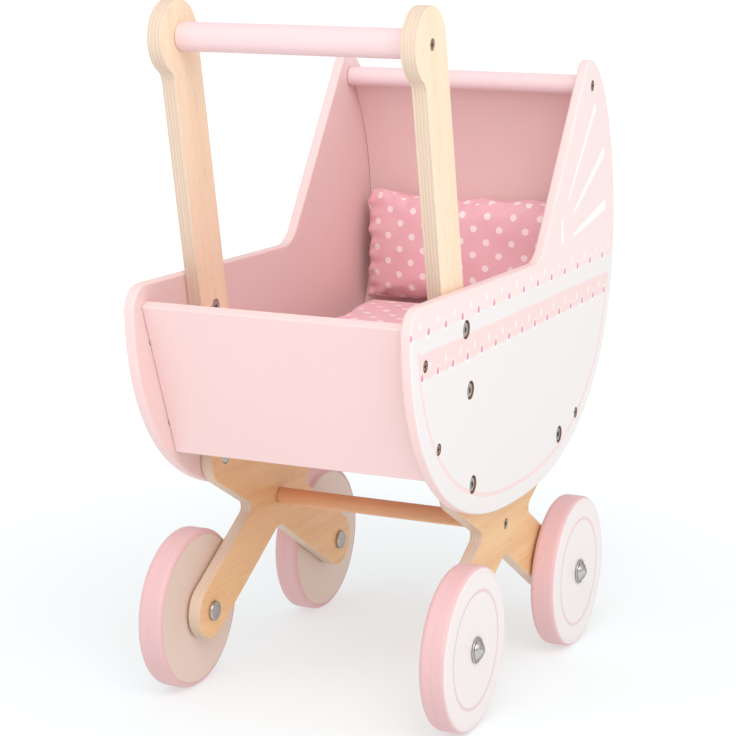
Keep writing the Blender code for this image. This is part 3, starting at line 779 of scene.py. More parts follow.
@once
def tapered_stroke():
    """A brush stroke from a narrow end to a wide one, both round."""
    tree, web, given, out = node_group(
        "tapered stroke",
        (("Y", "f"), ("Z", "f"), ("From Y", "f"), ("From Z", "f"), ("Along Y", "f"), ("Along Z", "f"),
         ("From Radius", "f"), ("To Radius", "f")),
        (("Mask", "f"),),
    )
    dy, dz = web.minus(given["Y"], given["From Y"]), web.minus(given["Z"], given["From Z"])
    ay, az = given["Along Y"], given["Along Z"]
    length = web.sum(web.times(ay, ay), web.times(az, az))
    share = web.math("DIVIDE", web.sum(web.times(dy, ay), web.times(dz, az)), length, clamp=True)
    ry, rz = web.minus(dy, web.times(share, ay)), web.minus(dz, web.times(share, az))
    growth = web.minus(given["To Radius"], given["From Radius"])
    radius = web.sum(given["From Radius"], web.times(share, growth))
    web.put(out["Mask"], web.step(web.minus(radius, web.length(ry, rz)), -0.6, 0.6))
    return tree


@once
def near_hole():
    """White inside a recess of this radius round a hole."""
    tree, web, given, out = node_group(
        "near hole", (("Y", "f"), ("Z", "f"), ("At Y", "f"), ("At Z", "f"), ("Radius", "f")),
        (("Mask", "f"),),
    )
    away = web.length(web.minus(given["Y"], given["At Y"]), web.minus(given["Z"], given["At Z"]))
    web.put(out["Mask"], web.step(away, web.sum(given["Radius"], 0.3), web.sum(given["Radius"], 0.1)))
    return tree


THREAD_PITCH = 0.00052


@once
def dotted_cloth():
    """Dots printed on a plain weave: the print's mask, the painted shade of the weave, darker where the
    threads dip, and the weave's height.
    """
    tree, web, given, out = node_group(
        "dotted cloth", (("Across", "f"), ("Up", "f"), ("Column", "f"), ("Row", "f"), ("Size", "f")),
        (("Dot", "f"), ("Weave Shade", "f"), ("Height", "f")),
    )
    row = web.math("DIVIDE", given["Up"], given["Row"])
    odd = web.times(web.math("FLOORED_MODULO", web.math("FLOOR", row), 2.0), 0.5)
    column = web.sum(web.math("DIVIDE", given["Across"], given["Column"]), odd)
    across = web.times(web.minus(web.math("FRACT", column), 0.5), given["Column"])
    up = web.times(web.minus(web.math("FRACT", row), 0.5), given["Row"])
    rough = web.noise(web.joined(given["Across"], given["Up"], 0.0), 900.0, 1.0)
    away = web.sum(web.length(across, up), web.times(web.minus(rough, 0.5), 0.0011))
    web.put(out["Dot"], web.step(web.minus(web.times(given["Size"], 0.5), away), -0.0003, 0.0003))
    warp = web.math("SINE", web.times(given["Across"], math.tau / THREAD_PITCH))
    weft = web.math("SINE", web.times(given["Up"], math.tau / THREAD_PITCH))
    height = web.sum(0.5, web.times(warp, weft, 0.5))
    # Painted shade: a grey level that darkens the colour where the threads dip.
    web.put(out["Weave Shade"], web.sum(0.95, web.times(height, 0.08)))
    slub = web.noise(web.joined(web.times(given["Across"], 6.0), given["Up"], 0.0), 420.0, 2.0)
    web.put(out["Height"], web.sum(web.times(height, 0.7), web.times(slub, 0.5)))
    return tree


def new_material(name, viewport):
    """A node material: its web, its Principled shader and the object's coordinates."""
    made = bpy.data.materials.new(name)
    made.use_nodes = True
    made.diffuse_color = (*viewport, 1)
    web = Web(made.node_tree)
    shader = made.node_tree.nodes["Principled BSDF"]
    shader.location = (2600, 0)
    made.node_tree.nodes["Material Output"].location = (2900, 0)
    coordinates = web.add("ShaderNodeTexCoord")
    return made, web, shader, coordinates.outputs["Object"]


def set_shader(shader, **values):
    """Numbers that are the same all over, set on the shader's own sockets."""
    for name, value in values.items():
        shader.inputs[name.replace("_", " ")].default_value = value


def surface_of(web, shader, colour, roughness, height, strength, distance):
    """What changes over the surface: its colour, its roughness and the bump of this height."""
    web.put(shader.inputs["Base Color"], colour)
    web.put(shader.inputs["Roughness"], roughness)
    node = web.add("ShaderNodeBump")
    node.inputs["Strength"].default_value = strength
    node.inputs["Distance"].default_value = distance
    web.put(node.inputs["Height"], height)
    web.put(shader.inputs["Normal"], node.outputs[0])


@once
def paint_material(which):
    """Satin paint over wood, in one of the stroller's colours."""
    colours = bpy.context.scene.stroller_colours
    made, web, shader, at = new_material(which + " satin paint", getattr(colours, which))
    paint = web.group(brushed_paint(), Vector=at, Colour=getattr(colours, which), Clouding=0.035)
    set_shader(shader, Coat_Weight=0.12, Coat_Roughness=0.25, Specular_IOR_Level=0.4)
    surface_of(web, shader, paint["Colour"], paint["Roughness"], paint["Height"], 0.14, 0.0002)
    return made


# The print on the side boards, in millimetres of the side view.

UPPER_SCALLOPS = {"Start": -199.6, "Step": 33.37, "Base": 334.85, "Slope": 0.0168}
LOWER_SCALLOPS = {"Start": -180.6, "Step": 29.96, "Base": 301.9, "Slope": 0.0172}
INSET_HALF_LENGTH, INSET_DEPTH = 219.3, 178.7
INSET_TOP = (321.5, 317.5)
BAND_TOP, BAND_SLOPE = 318.35, 0.0118
PETAL_SIZES = ("From_Y", "From_Z", "Along_Y", "Along_Z", "From_Radius", "To_Radius")
PETALS = (
    (106.2, 398.7, 62.1, 72.5, 1.4, 3.3), (120.4, 385.2, 74.0, 44.6, 1.7, 4.3),
    (122.2, 365.1, 79.8, 17.6, 1.9, 5.0), (91.2, 380.7, 1.5, -18.2, 2.2, 2.7),
)


def away_from_inset(web, y, z):
    """Distance outwards from the inset line, a superellipse that runs inside the belly's edge."""
    p = sum(BELLY_POWERS) / 2
    u = web.math("DIVIDE", web.math("ABSOLUTE", y), INSET_HALF_LENGTH)
    v = web.math("DIVIDE", web.math("ABSOLUTE", web.minus(1000 * RIM_HEIGHT, z)), INSET_DEPTH)
    gauge = web.math("POWER", web.sum(web.math("POWER", u, p), web.math("POWER", v, p)), 1 / p)
    slope_y = web.math("DIVIDE", web.math("POWER", u, p - 1), INSET_HALF_LENGTH)
    slope_z = web.math("DIVIDE", web.math("POWER", v, p - 1), INSET_DEPTH)
    steep = web.length(slope_y, slope_z)
    return web.math("DIVIDE", web.minus(gauge, 1.0), web.math("MAXIMUM", steep, 0.001))


@once
def printed_material():
    """White face with a pale hood, two scalloped bands, drops, an inset line and a fan of petals."""
    colours = bpy.context.scene.stroller_colours
    made, web, shader, at = new_material("printed side paint", colours.face)
    x, y, z = web.parts(web.scaled(at, (1000, 1000, 1000)))
    on_face = web.step(web.math("ABSOLUTE", x), 1000 * OUTSIDE - 1.0, 1000 * OUTSIDE - 0.55)
    upper = web.group(scallop_row(), Y=y, Z=z, **UPPER_SCALLOPS)
    lower = web.group(scallop_row(), Y=y, Z=z, **LOWER_SCALLOPS)
    away = away_from_inset(web, y, z)
    line = web.times(web.step(web.math("ABSOLUTE", away), 2.4, 1.3), web.step(z, *INSET_TOP))
    within = web.step(away, 0.8, -0.8)
    top = web.sum(BAND_TOP, web.times(y, BAND_SLOPE))
    band = web.times(web.step(web.minus(top, z), -0.6, 0.6), lower["Above"], within)
    petals = 0.0
    for petal in PETALS:
        mask = web.group(tapered_stroke(), Y=y, Z=z, **dict(zip(PETAL_SIZES, petal)))["Mask"]
        petals = web.math("MAXIMUM", petals, mask)

    ground = web.mix(upper["Above"], colours.face, colours.pale)
    ground = web.mix(web.times(petals, 0.8), ground, linear(252, 246, 245))
    ground = web.mix(web.math("MAXIMUM", band, web.times(line, 0.9)), ground, colours.band)
    light = web.math("MAXIMUM", upper["Light"], web.times(lower["Light"], within))
    ground = web.mix(web.times(light, 0.85), ground, linear(251, 243, 242))
    drops = web.math("MAXIMUM", upper["Drop"], web.times(lower["Drop"], within))
    ground = web.mix(drops, ground, colours.drop)
    colour = web.mix(on_face, colours.paint, ground)
    # Recess walls get the bare board colour, darkened as painted shade for the shade inside the recesses.
    bare_board_and_shade = 0.0
    for names, radius in ((SCREWS, SCREW_RECESS_RADIUS), (BOLTS, BOLT_RECESS_RADIUS)):
        for name in names:
            hole_y, hole_z = side_view(name + "_right")
            places = {"At_Y": 1000 * hole_y, "At_Z": 1000 * hole_z, "Radius": 1000 * radius}
            bare_board_and_shade = web.math("MAXIMUM", bare_board_and_shade, web.group(near_hole(), Y=y, Z=z, **places)["Mask"])
    sunk = web.step(web.math("ABSOLUTE", x), 1000 * OUTSIDE - 0.2, 1000 * OUTSIDE - 0.5)
    colour = web.mix(web.times(bare_board_and_shade, sunk), colour, colours.bare_board_and_shade)
    paint = web.group(brushed_paint(), Vector=at, Colour=colour, Clouding=0.03)
    rough = web.sum(paint["Roughness"], web.times(on_face, -0.04))
    ink = web.times(web.math("MAXIMUM", drops, band), on_face)
    height = web.sum(paint["Height"], web.times(ink, 0.5))
    set_shader(shader, Coat_Weight=0.15, Coat_Roughness=0.2, Specular_IOR_Level=0.4)
    surface_of(web, shader, paint["Colour"], rough, height, 0.14, 0.0002)
    return made


@once
def ply_material(name, turn, outer, which):
    """Birch ply: face grain at this turn about X, and layers wherever the surface turns off the face."""
    colours, sizes = bpy.context.scene.stroller_colours, bpy.context.scene.stroller_sizes
    light, dark = getattr(colours, which), getattr(colours, which + "_dark")
    made, web, shader, at = new_material(name, light)
    face = web.group(birch_face(), Vector=web.turned(at, (turn, 0, 0)), Light=light, Dark=dark)
    edge = web.group(
        ply_edge(), Vector=at, Outer=outer, Layer=sizes.ply_layer, Light=colours.layer_light,
        Dark=colours.layer_dark,
    )
    geometry = web.add("ShaderNodeNewGeometry")
    facing = web.math("ABSOLUTE", web.parts(geometry.outputs["True Normal"])[0])
    is_edge = web.step(facing, 0.80, 0.60)
    colour = web.mix(is_edge, face["Colour"], edge["Colour"])
    rough, height = (
        web.sum(face[kind], web.times(is_edge, web.minus(edge[kind], face[kind])))
        for kind in ("Roughness", "Height")
    )
    set_shader(shader, Coat_Weight=0.10, Coat_Roughness=0.3, Specular_IOR_Level=0.35)
    surface_of(web, shader, colour, rough, height, 0.22, 0.00025)
    return made


@once
def dowel_material():
    """Oiled beech dowel: long rays along X and a warm tone."""
    colours = bpy.context.scene.stroller_colours
    made, web, shader, at = new_material("oiled beech dowel", colours.dowel)
    along, dark = web.turned(at, (0, math.pi / 2, 0)), tuple(0.72 * c for c in colours.dowel)
    grain = web.group(birch_face(), Vector=along, Light=colours.dowel, Dark=dark)
    rough = web.minus(grain["Roughness"], 0.08)
    set_shader(shader, Coat_Weight=0.3, Coat_Roughness=0.2, Specular_IOR_Level=0.45)
    surface_of(web, shader, grain["Colour"], rough, grain["Height"], 0.2, 0.0002)
    return made


def wheel_places(web, at):
    """Distances in millimetres from the middle plane and from the nearest axle's line."""
    x, y, z = web.parts(web.scaled(at, (1000, 1000, 1000)))
    off = web.math("ABSOLUTE", web.minus(y, 1000 * LEG_CENTRE))
    radius = web.length(web.minus(off, 1000 * AXLE_SPREAD), web.minus(z, 1000 * AXLE_REAR.z))
    return web.math("ABSOLUTE", x), radius


@once
def wheel_material():
    """Lacquered wheel face with a pale pink ring, and a plain warmer back."""
    colours = bpy.context.scene.stroller_colours
    made, web, shader, at = new_material("lacquered wheel", colours.wheel)
    x, radius = wheel_places(web, at)
    outer = web.step(x, 1000 * AXLE_REAR.x - 1, 1000 * AXLE_REAR.x + 1)
    ring = web.times(web.step(web.math("ABSOLUTE", web.minus(radius, 47.2)), 1.9, 0.8), outer, 0.62)
    shoulder = web.times(web.step(radius, 60.5, 64.0), outer, 0.5)
    colour = web.mix(outer, colours.wheel_back, colours.wheel)
    colour = web.mix(web.math("MAXIMUM", ring, shoulder), colour, colours.tread)
    paint = web.group(brushed_paint(), Vector=at, Colour=colour, Clouding=0.04)
    set_shader(shader, Coat_Weight=0.2, Coat_Roughness=0.2, Specular_IOR_Level=0.4)
    surface_of(web, shader, paint["Colour"], paint["Roughness"], paint["Height"], 0.15, 0.0002)
    return made


@once
def tread_material():
    """Pink tread whose outer shoulder fades to the white of the face, with a fine line round its middle."""
    colours = bpy.context.scene.stroller_colours
    made, web, shader, at = new_material("pink tread", colours.tread)
    x, radius = wheel_places(web, at)
    edge = 1000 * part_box("tyre_rear_right")[1].x
    white = web.times(web.step(x, edge - 2.6, edge - 0.5), web.step(radius, 66.2, 63.4))
    line = web.step(web.math("ABSOLUTE", web.minus(x, 1000 * AXLE_REAR.x)), 0.55, 0.1)
    scuff = web.times(web.step(web.noise(at, 300.0, 2.0), 0.5, 0.68), web.step(radius, 65.6, 66.4))
    colour = web.mix(web.times(scuff, 0.10), colours.tread, linear(228, 196, 198))
    colour = web.mix(web.times(line, 0.14), colour, linear(206, 160, 168))
    colour = web.mix(white, colour, colours.wheel)
    paint = web.group(brushed_paint(), Vector=at, Colour=colour, Clouding=0.05)
    rough = web.sum(paint["Roughness"], web.times(scuff, 0.15))
    height = web.minus(paint["Height"], web.times(line, 0.8))
    set_shader(shader, Specular_IOR_Level=0.4)
    surface_of(web, shader, paint["Colour"], rough, height, 0.2, 0.0002)
    return made


@once
def steel_material(which):
    """Plated steel: turning marks, fine scratches, some tarnish, and a painted dark reflection where the
    surface turns away from the viewer.
    """
    colour = getattr(bpy.context.scene.stroller_colours, which)
    made, web, shader, at = new_material("plated " + which, colour)
    cloud = web.noise(at, 160.0, 2.0)
    scratch = web.noise(web.scaled(at, (9000, 1400, 1400)), 1.0, 2.0)
    # Painted reflection: Layer Weight's facing darkens the base colour where the surface turns away from the
    # viewer.
    rim = web.add("ShaderNodeLayerWeight")
    rim.inputs["Blend"].default_value = 0.5
    painted_dark_reflection = web.times(web.step(rim.outputs["Facing"], 0.30, 0.85), 0.85)
    # The dark mix is random tarnish plus the painted dark reflection.
    tone = web.math("ADD", web.times(web.step(cloud, 0.45, 0.8), 0.12), painted_dark_reflection, clamp=True)
    rough = web.sum(0.12, web.times(cloud, 0.10), web.times(scratch, 0.04))
    set_shader(shader, Metallic=1.0)
    surface_of(web, shader, web.mix(tone, colour, linear(92, 80, 76)), rough, scratch, 0.02, 0.0001)
    return made


@once
def cloth_material(name, upright):
    """Cotton printed with dots; the print follows whichever way the cloth faces."""
    colours, sizes = bpy.context.scene.stroller_colours, bpy.context.scene.stroller_sizes
    made, web, shader, at = new_material(name, colours.cloth)
    x, y, z = web.parts(at)
    geometry = web.add("ShaderNodeNewGeometry")
    nx, _, nz = web.parts(geometry.outputs["Normal"])
    end_on = web.math("GREATER_THAN", web.math("ABSOLUTE", nx), 0.8)
    flat = web.math("GREATER_THAN", web.math("ABSOLUTE", nz), 0.8 if upright else 0.55)
    across = web.sum(x, web.times(end_on, web.minus(y, x)))
    up = web.sum(z, web.times(flat, web.minus(y, z)))
    cloth = web.group(
        dotted_cloth(), Across=web.sum(across, 0.0035), Up=web.sum(up, 0.002), Column=sizes.dot_column,
        Row=sizes.dot_row if upright else 1.15 * sizes.dot_row, Size=sizes.dot_size,
    )
    fade = web.noise(at, 22.0, 2.0)
    ground = web.mix(web.times(web.step(fade, 0.35, 0.75), 0.35), colours.cloth, linear(234, 172, 186))
    # The weave's painted shade multiplies the printed colour.
    colour = web.shaded(web.mix(cloth["Dot"], ground, colours.dot), cloth["Weave Shade"])
    rough = web.sum(0.78, web.times(fade, 0.14))
    set_shader(shader, Sheen_Weight=0.35, Sheen_Roughness=0.5, Specular_IOR_Level=0.2)
    set_shader(shader, Sheen_Tint=(*linear(255, 226, 230), 1))
    surface_of(web, shader, colour, rough, cloth["Height"], 0.3, 0.00025)
    return made


@once
def thread_material():
    """Sewing thread and folded seam of the same cotton, without dots."""
    colours = bpy.context.scene.stroller_colours
    made, web, shader, at = new_material("sewn seam", colours.cloth)
    twist = web.noise(at, 1800.0, 2.0)
    colour = web.mix(web.times(twist, 0.5), colours.cloth, linear(214, 132, 154))
    set_shader(shader, Sheen_Weight=0.3, Specular_IOR_Level=0.2)
    surface_of(web, shader, colour, web.sum(0.75, web.times(twist, 0.2)), twist, 0.4, 0.0003)
    return made


# Pieces.

SCREWS = ("foot_screw_lower", "foot_screw_upper", "rail_screw", "hood_bar_screw")
BOLTS = ("post_bolt_lower", "post_bolt_upper", "leg_bolt_front", "leg_bolt_rear")
SCREW_HOLE, SCREW_RECESS_RADIUS, SCREW_RECESS = 0.0019, 0.0047, 0.0030
BOLT_HOLE, BOLT_RECESS_RADIUS, BOLT_RECESS = 0.0032, 0.0074, 0.0040
SCREW_DRILL = (SCREW_HOLE, SCREW_RECESS_RADIUS, SCREW_RECESS)
BOLT_DRILL = (BOLT_HOLE, BOLT_RECESS_RADIUS, BOLT_RECESS)
NUT_HOLE, NUT_FLANGE_HOLE, NUT_FLANGE_DEPTH, NUT_DEPTH = 0.0047, 0.0071, 0.0018, 0.0091
GAP = 0.0003
BOARD = 0.009


def side_view(node):
    """The (y, z) of a node's middle."""
    point = middle_of(node)
    return point.y, point.z


class STROLLER_OT_side_boards(bpy.types.Operator):
    """Builds the two printed side boards"""

    bl_idname = "stroller.side_boards"
    bl_label = "Printed side boards"

    def execute(self, context):
        sizes = context.scene.stroller_sizes
        board = plate("printed_side_right", panel_outline(), INSIDE, OUTSIDE, sizes.board_round, 5)
        cutters = []
        for names, hole in ((SCREWS, SCREW_DRILL), (BOLTS, BOLT_DRILL)):
            for name in names:
                at = side_view(name + "_right")
                cutters.append(drill(at, INSIDE, OUTSIDE, *hole, sizes.recess_break))
        cut(board, *cutters)
        settle(board)
        finish_both_sides(board, "printed_side", printed_material(), "panel_paint", "side_panel")
        return {"FINISHED"}


FOOT_TOP = (-0.9474, 0.913)
FOOT_BOTTOM = (-0.7197, 0.263)


def foot_frame():
    """Bottom front corner, up direction and inward normal of the foot board, and its height."""
    top, bottom = Vector(place(*FOOT_TOP)), Vector(place(*FOOT_BOTTOM))
    up = (top - bottom).normalized()
    return bottom, up, Vector((up.y, -up.x)), (top - bottom).length


def cross_board(name, node, section, radius):
    """A board of this (y, z) section with rounded rims, from one side board to the other."""
    outline = filleted([(y, z, radius) for y, z in section], 7, 0.00005)
    piece = plate(name, outline, GAP - INSIDE, INSIDE - GAP, THIN_EDGE, 2)
    settle(piece)
    finish_piece(piece, paint_material("paint"), "inner_paint", "frame", node)


class STROLLER_OT_boards(bpy.types.Operator):
    """Builds the foot board, the bent hood back, the bed board and the rear rail"""

    bl_idname = "stroller.boards"
    bl_label = "Inner boards"

    def execute(self, context):
        bottom, up, inward, height = foot_frame()
        top = bottom + up * height
        section = [tuple(p) for p in (top, bottom, bottom + inward * BOARD, top + inward * BOARD)]
        cross_board("foot_board", "foot_panel", section, context.scene.stroller_sizes.thin_round)

        clear = HOOD_BAR_RADIUS + 0.5 * HOOD_SHEET + MM
        first = (HOOD_BAR.y + clear * math.cos(HOOD_START), HOOD_BAR.z + clear * math.sin(HOOD_START))
        middle = [first] + hood_curve(HOOD_INSET)
        front, back = [], []
        for i, (y, z) in enumerate(middle):
            before, after = Vector(middle[max(i - 1, 0)]), Vector(middle[min(i + 1, len(middle) - 1)])
            along = (after - before).normalized() * HOOD_SHEET * 0.5
            front.append((y + along.y, z - along.x))
            back.append((y - along.y, z + along.x))
        hood = plate("hood_back", front + back[::-1], GAP - INSIDE, INSIDE - GAP, 0.0005, 2)
        settle(hood)
        finish_piece(hood, paint_material("paint"), "inner_paint", "frame", "hood_panel")

        rails = (("bed_base", "bed_board", 0.0012), ("rear_cross_rail", "rear_rail", 0.0024))
        for name, node, radius in rails:
            low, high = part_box(node)
            section = ((low.y, low.z), (high.y, low.z), (high.y, high.z), (low.y, high.z))
            cross_board(name, node, section, radius)
        return {"FINISHED"}


def dowel(name, node, surface, slot):
    """A round bar of a CAD dowel's length and radius, eased at both ends."""
    low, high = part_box(node)
    radius = (high.z - low.z) * 0.5
    section = [(low.x, 0, 0), (low.x, radius, THIN_EDGE), (high.x, radius, THIN_EDGE), (high.x, 0, 0)]
    piece = turned(name, filleted(section, 5, SAME_POINT), *side_view(node), 72)
    settle(piece)
    finish_piece(piece, surface, slot, "frame", node)


class STROLLER_OT_dowels(bpy.types.Operator):
    """Builds the handle bar, the hood bar and the dowel between the legs"""

    bl_idname = "stroller.dowels"
    bl_label = "Dowels"

    def execute(self, context):
        dowel("handle_grip_bar", "handle_bar", paint_material("bar"), "dowel_paint")
        dowel("hood_round_bar", "hood_bar", paint_material("bar"), "dowel_paint")
        dowel("cross_round_bar", "cross_dowel", dowel_material(), "cross_wood")
        return {"FINISHED"}


def nut_pocket(at, low, high, chamfer):
    """The cutter for a barrel nut's hole, with a shallow pocket for its flange at the inner face."""
    section = (
        (high + 2 * MM, 0), (high + 2 * MM, BOLT_HOLE),
        (low + NUT_DEPTH, BOLT_HOLE), (low + NUT_DEPTH, NUT_HOLE),
        (low + NUT_FLANGE_DEPTH, NUT_HOLE), (low + NUT_FLANGE_DEPTH, NUT_FLANGE_HOLE),
        (low + chamfer, NUT_FLANGE_HOLE), (low - chamfer, NUT_FLANGE_HOLE + 2 * chamfer), (low - chamfer, 0),
    )
    return cutter_of(section, at)


class STROLLER_OT_posts(bpy.types.Operator):
    """Builds the two ply handle posts"""

    bl_idname = "stroller.posts"
    bl_label = "Handle posts"

    def execute(self, context):
        sizes = context.scene.stroller_sizes
        low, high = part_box("handle_post_right")
        post = plate("ply_post_right", post_outline(), low.x, high.x, sizes.ply_round, 3)
        chamfer = 0.5 * sizes.recess_break
        at = side_view("handle_bar")
        cutters = [drill(at, low.x, high.x, *SCREW_DRILL, chamfer)]
        for bolt in ("post_bolt_upper_right", "post_bolt_lower_right"):
            cutters.append(nut_pocket(side_view(bolt), low.x, high.x, chamfer))
        cut(post, *cutters)
        settle(post)
        _, up, _ = post_frame()
        surface = ply_material("birch ply post", -math.atan2(-up.x, up.y), high.x, "birch")
        finish_both_sides(post, "ply_post", surface, "birch_ply", "handle_post")
        return {"FINISHED"}


class STROLLER_OT_legs(bpy.types.Operator):
    """Builds the two ply leg plates"""

    bl_idname = "stroller.legs"
    bl_label = "Leg plates"

    def execute(self, context):
        sizes = context.scene.stroller_sizes
        low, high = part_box("leg_plate_right")
        leg = plate("ply_legs_right", leg_outline(), low.x, high.x, sizes.ply_round, 3)
        chamfer = 0.5 * sizes.recess_break
        at = side_view("cross_dowel")
        cutters = [drill(at, low.x, high.x, *SCREW_DRILL, chamfer)]
        for bolt in ("leg_bolt_front_right", "leg_bolt_rear_right"):
            cutters.append(nut_pocket(side_view(bolt), low.x, high.x, chamfer))
        for axle in (AXLE_FRONT, AXLE_REAR):
            cutters.append(bore((axle.y, axle.z), low.x - MM, high.x + MM, AXLE_HOLE))
        cut(leg, *cutters)
        settle(leg)
        # The legs use the darker leg colours: a shaded copy of the birch ply, painted shade for the shade
        # under the pram.
        surface = ply_material("birch ply legs", math.radians(90), high.x, "leg")
        finish_both_sides(leg, "ply_legs", surface, "birch_ply", "leg_plate")
        return {"FINISHED"}


def record_body(node):
    """The CAD body that a node rides on."""
    return frame["nodes"][node]["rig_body"]


def to_each_wheel(piece, label, surface, slot, node):
    """Copies a piece made for the front right wheel to all four, and finishes each."""
    back = Matrix.Translation((0, AXLE_REAR.y - AXLE_FRONT.y, 0))
    for end, matrix in (("front", Matrix.Identity(4)), ("rear", back)):
        for side, turn in (("right", Matrix.Identity(4)), ("left", MIRROR)):
            made = copy_of(piece, f"{label}_{end}_{side}", turn @ matrix)
            stands_for = f"{node}_{end}_{side}"
            finish_piece(made, surface, slot, record_body(stands_for), stands_for)
    bpy.data.objects.remove(piece, do_unlink=True)


TREAD_DEPTH = 0.0042
TREAD_SHARP_ANGLE = math.radians(50)
GLUE_LINE = 0.00005


class STROLLER_OT_wheels(bpy.types.Operator):
    """Builds the four wooden wheels and their painted treads"""

    bl_idname = "stroller.wheels"
    bl_label = "Wheels"

    def execute(self, context):
        sizes = context.scene.stroller_sizes
        low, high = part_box("tyre_front_right")
        radius = (high.z - low.z) * 0.5
        seat = radius - TREAD_DEPTH
        at = side_view("wheel_front_right")
        section = [
            (low.x, AXLE_HOLE, 0.0003), (high.x, AXLE_HOLE, 0.0003),
            (high.x, seat, 0.0001), (low.x, seat, 0.0005),
        ]
        disc = turned("disc", filleted(section, 4, SAME_POINT), *at, 96)
        settle(disc)
        to_each_wheel(disc, "wooden_wheel", wheel_material(), "wheel_wood", "wheel")

        shoulder, crown = sizes.tread_round, radius - seat - GLUE_LINE
        section = [(low.x, seat + GLUE_LINE), (high.x, seat + GLUE_LINE)]
        for a in steps_between(0, 0.5 * math.pi, 10)[1:]:
            section.append((high.x - shoulder * (1 - math.cos(a)), radius - crown * (1 - math.sin(a))))
        centre = (low.x + high.x) * 0.5
        for x, r in ((0.0005, 0), (0.00022, 0.00018), (-0.00022, 0.00018), (-0.0005, 0)):
            section.append((centre + x, radius - r))
        for a in steps_between(0.5 * math.pi, math.pi, 10)[:-1]:
            section.append((low.x + shoulder * (1 + math.cos(a)), radius - crown * (1 - math.sin(a))))
        tread = turned("tread", section, *at, 96)
        settle(tread, TREAD_SHARP_ANGLE)
        to_each_wheel(tread, "pink_tread", tread_material(), "wheel_tyre", "tyre")
        return {"FINISHED"}


class STROLLER_OT_axles(bpy.types.Operator):
    """Builds the four axle bolts and their pointed hub caps"""

    bl_idname = "stroller.axles"
    bl_label = "Axle bolts and hub caps"

    def execute(self, context):
        low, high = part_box("axle_bolt_front_right")
        at = side_view("axle_bolt_front_right")
        head, thick, shaft = (high.z - low.z) * 0.5, 0.0032, 0.003
        section = [
            (low.x, 0, 0), (low.x + 0.0003, 0.6 * head, 0.002), (low.x + 0.0004, head, 0.0011),
            (low.x + thick, head, 0.0002), (low.x + thick, shaft, 0), (high.x, shaft, 0.0005), (high.x, 0, 0),
        ]
        bolt = turned("bolt", filleted(section, 6, SAME_POINT), *at, 48)
        settle(bolt)
        to_each_wheel(bolt, "wheel_axle_bolt", steel_material("steel"), "fastener_steel", "axle_bolt")

        low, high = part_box("hub_cap_front_right")
        rim, tall, inner = (high.z - low.z) * 0.5, high.x - low.x, shaft + GAP
        section = [
            (low.x, inner, 0), (low.x, rim, 0.0002), (low.x + 0.0012, rim, 0.0005),
            (low.x + 0.0013, 0.78 * rim, 0.0003), (low.x + 0.30 * tall, 0.75 * rim, 0.0006),
            (low.x + 0.60 * tall, 0.62 * rim, 0.002), (low.x + 0.86 * tall, 0.32 * rim, 0.0015),
            (low.x + tall, 0.14 * rim, 0.0006), (low.x + tall, 0, 0), (low.x + 0.52 * tall, 0, 0),
            (low.x + 0.52 * tall, inner, 0),
        ]
        cap = turned("cap", filleted(section, 6, SAME_POINT), *at, 48)
        settle(cap)
        to_each_wheel(cap, "pointed_hub_cap", steel_material("steel"), "fastener_steel", "hub_cap")
        return {"FINISHED"}


def repeat(piece, home, nodes, label, plating="steel"):
    """Copies one steel piece, made at the first node, to every node of its kind on both sides."""
    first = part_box(nodes[0] + "_right")[0].x
    for node in nodes:
        y, z = side_view(node + "_right")
        move = Matrix.Translation((0, y - home[0], z - home[1]))
        shift = Matrix.Translation((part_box(node + "_right")[0].x - first, 0, 0))
        for side, turn in (("right", Matrix.Identity(4)), ("left", MIRROR)):
            stands_for = f"{node}_{side}"
            made = copy_of(piece, f"{label}_{stands_for}", turn @ shift @ move)
            finish_piece(made, steel_material(plating), "fastener_steel", record_body(stands_for), stands_for)
    bpy.data.objects.remove(piece, do_unlink=True)


KEY_RADIUS = 0.0028
SLOT_REACH, SLOT_WIDTH, SLOT_DEPTH = 0.0046, 0.0010, 0.0014


class STROLLER_OT_bolts(bpy.types.Operator):
    """Builds the connector bolts and their barrel nuts"""

    bl_idname = "stroller.bolts"
    bl_label = "Bolts and nuts"

    def execute(self, context):
        for names in (("post_bolt_lower", "post_bolt_upper"), ("leg_bolt_front", "leg_bolt_rear")):
            low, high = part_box(names[0] + "_right")
            at = side_view(names[0] + "_right")
            head, thick, shaft = (high.z - low.z) * 0.5, 0.0026, 0.0029
            section = [
                (low.x, 0, 0), (low.x, shaft, 0.0006), (high.x - thick, shaft, 0),
                (high.x - thick, head, 0.0002), (high.x, head, 0.0012), (high.x, 0, 0),
            ]
            bolt = turned("bolt", filleted(section, 6, SAME_POINT), *at, 48)
            hex_socket(bolt, at, high.x - 0.0018, high.x + MM, KEY_RADIUS)
            settle(bolt)
            repeat(bolt, at, names, "socket")
        for names in (("post_nut_lower", "post_nut_upper"), ("leg_nut_front", "leg_nut_rear")):
            low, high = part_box(names[0] + "_right")
            at = side_view(names[0] + "_right")
            flange, thick, barrel, wall = (high.z - low.z) * 0.5, 0.0015, 0.0044, 0.0032
            section = [
                (low.x, 0, 0), (low.x, flange, 0.0008), (low.x + thick, flange, 0.0002),
                (low.x + thick, barrel, 0), (high.x, barrel, 0.0003), (high.x, wall, 0),
                (low.x + 0.0045, wall, 0), (low.x + 0.0045, 0, 0),
            ]
            nut = turned("nut", filleted(section, 6, SAME_POINT), *at, 48)
            hex_socket(nut, at, low.x - MM, low.x + 0.0028, KEY_RADIUS)
            settle(nut)
            repeat(nut, at, names, "barrel")
        return {"FINISHED"}


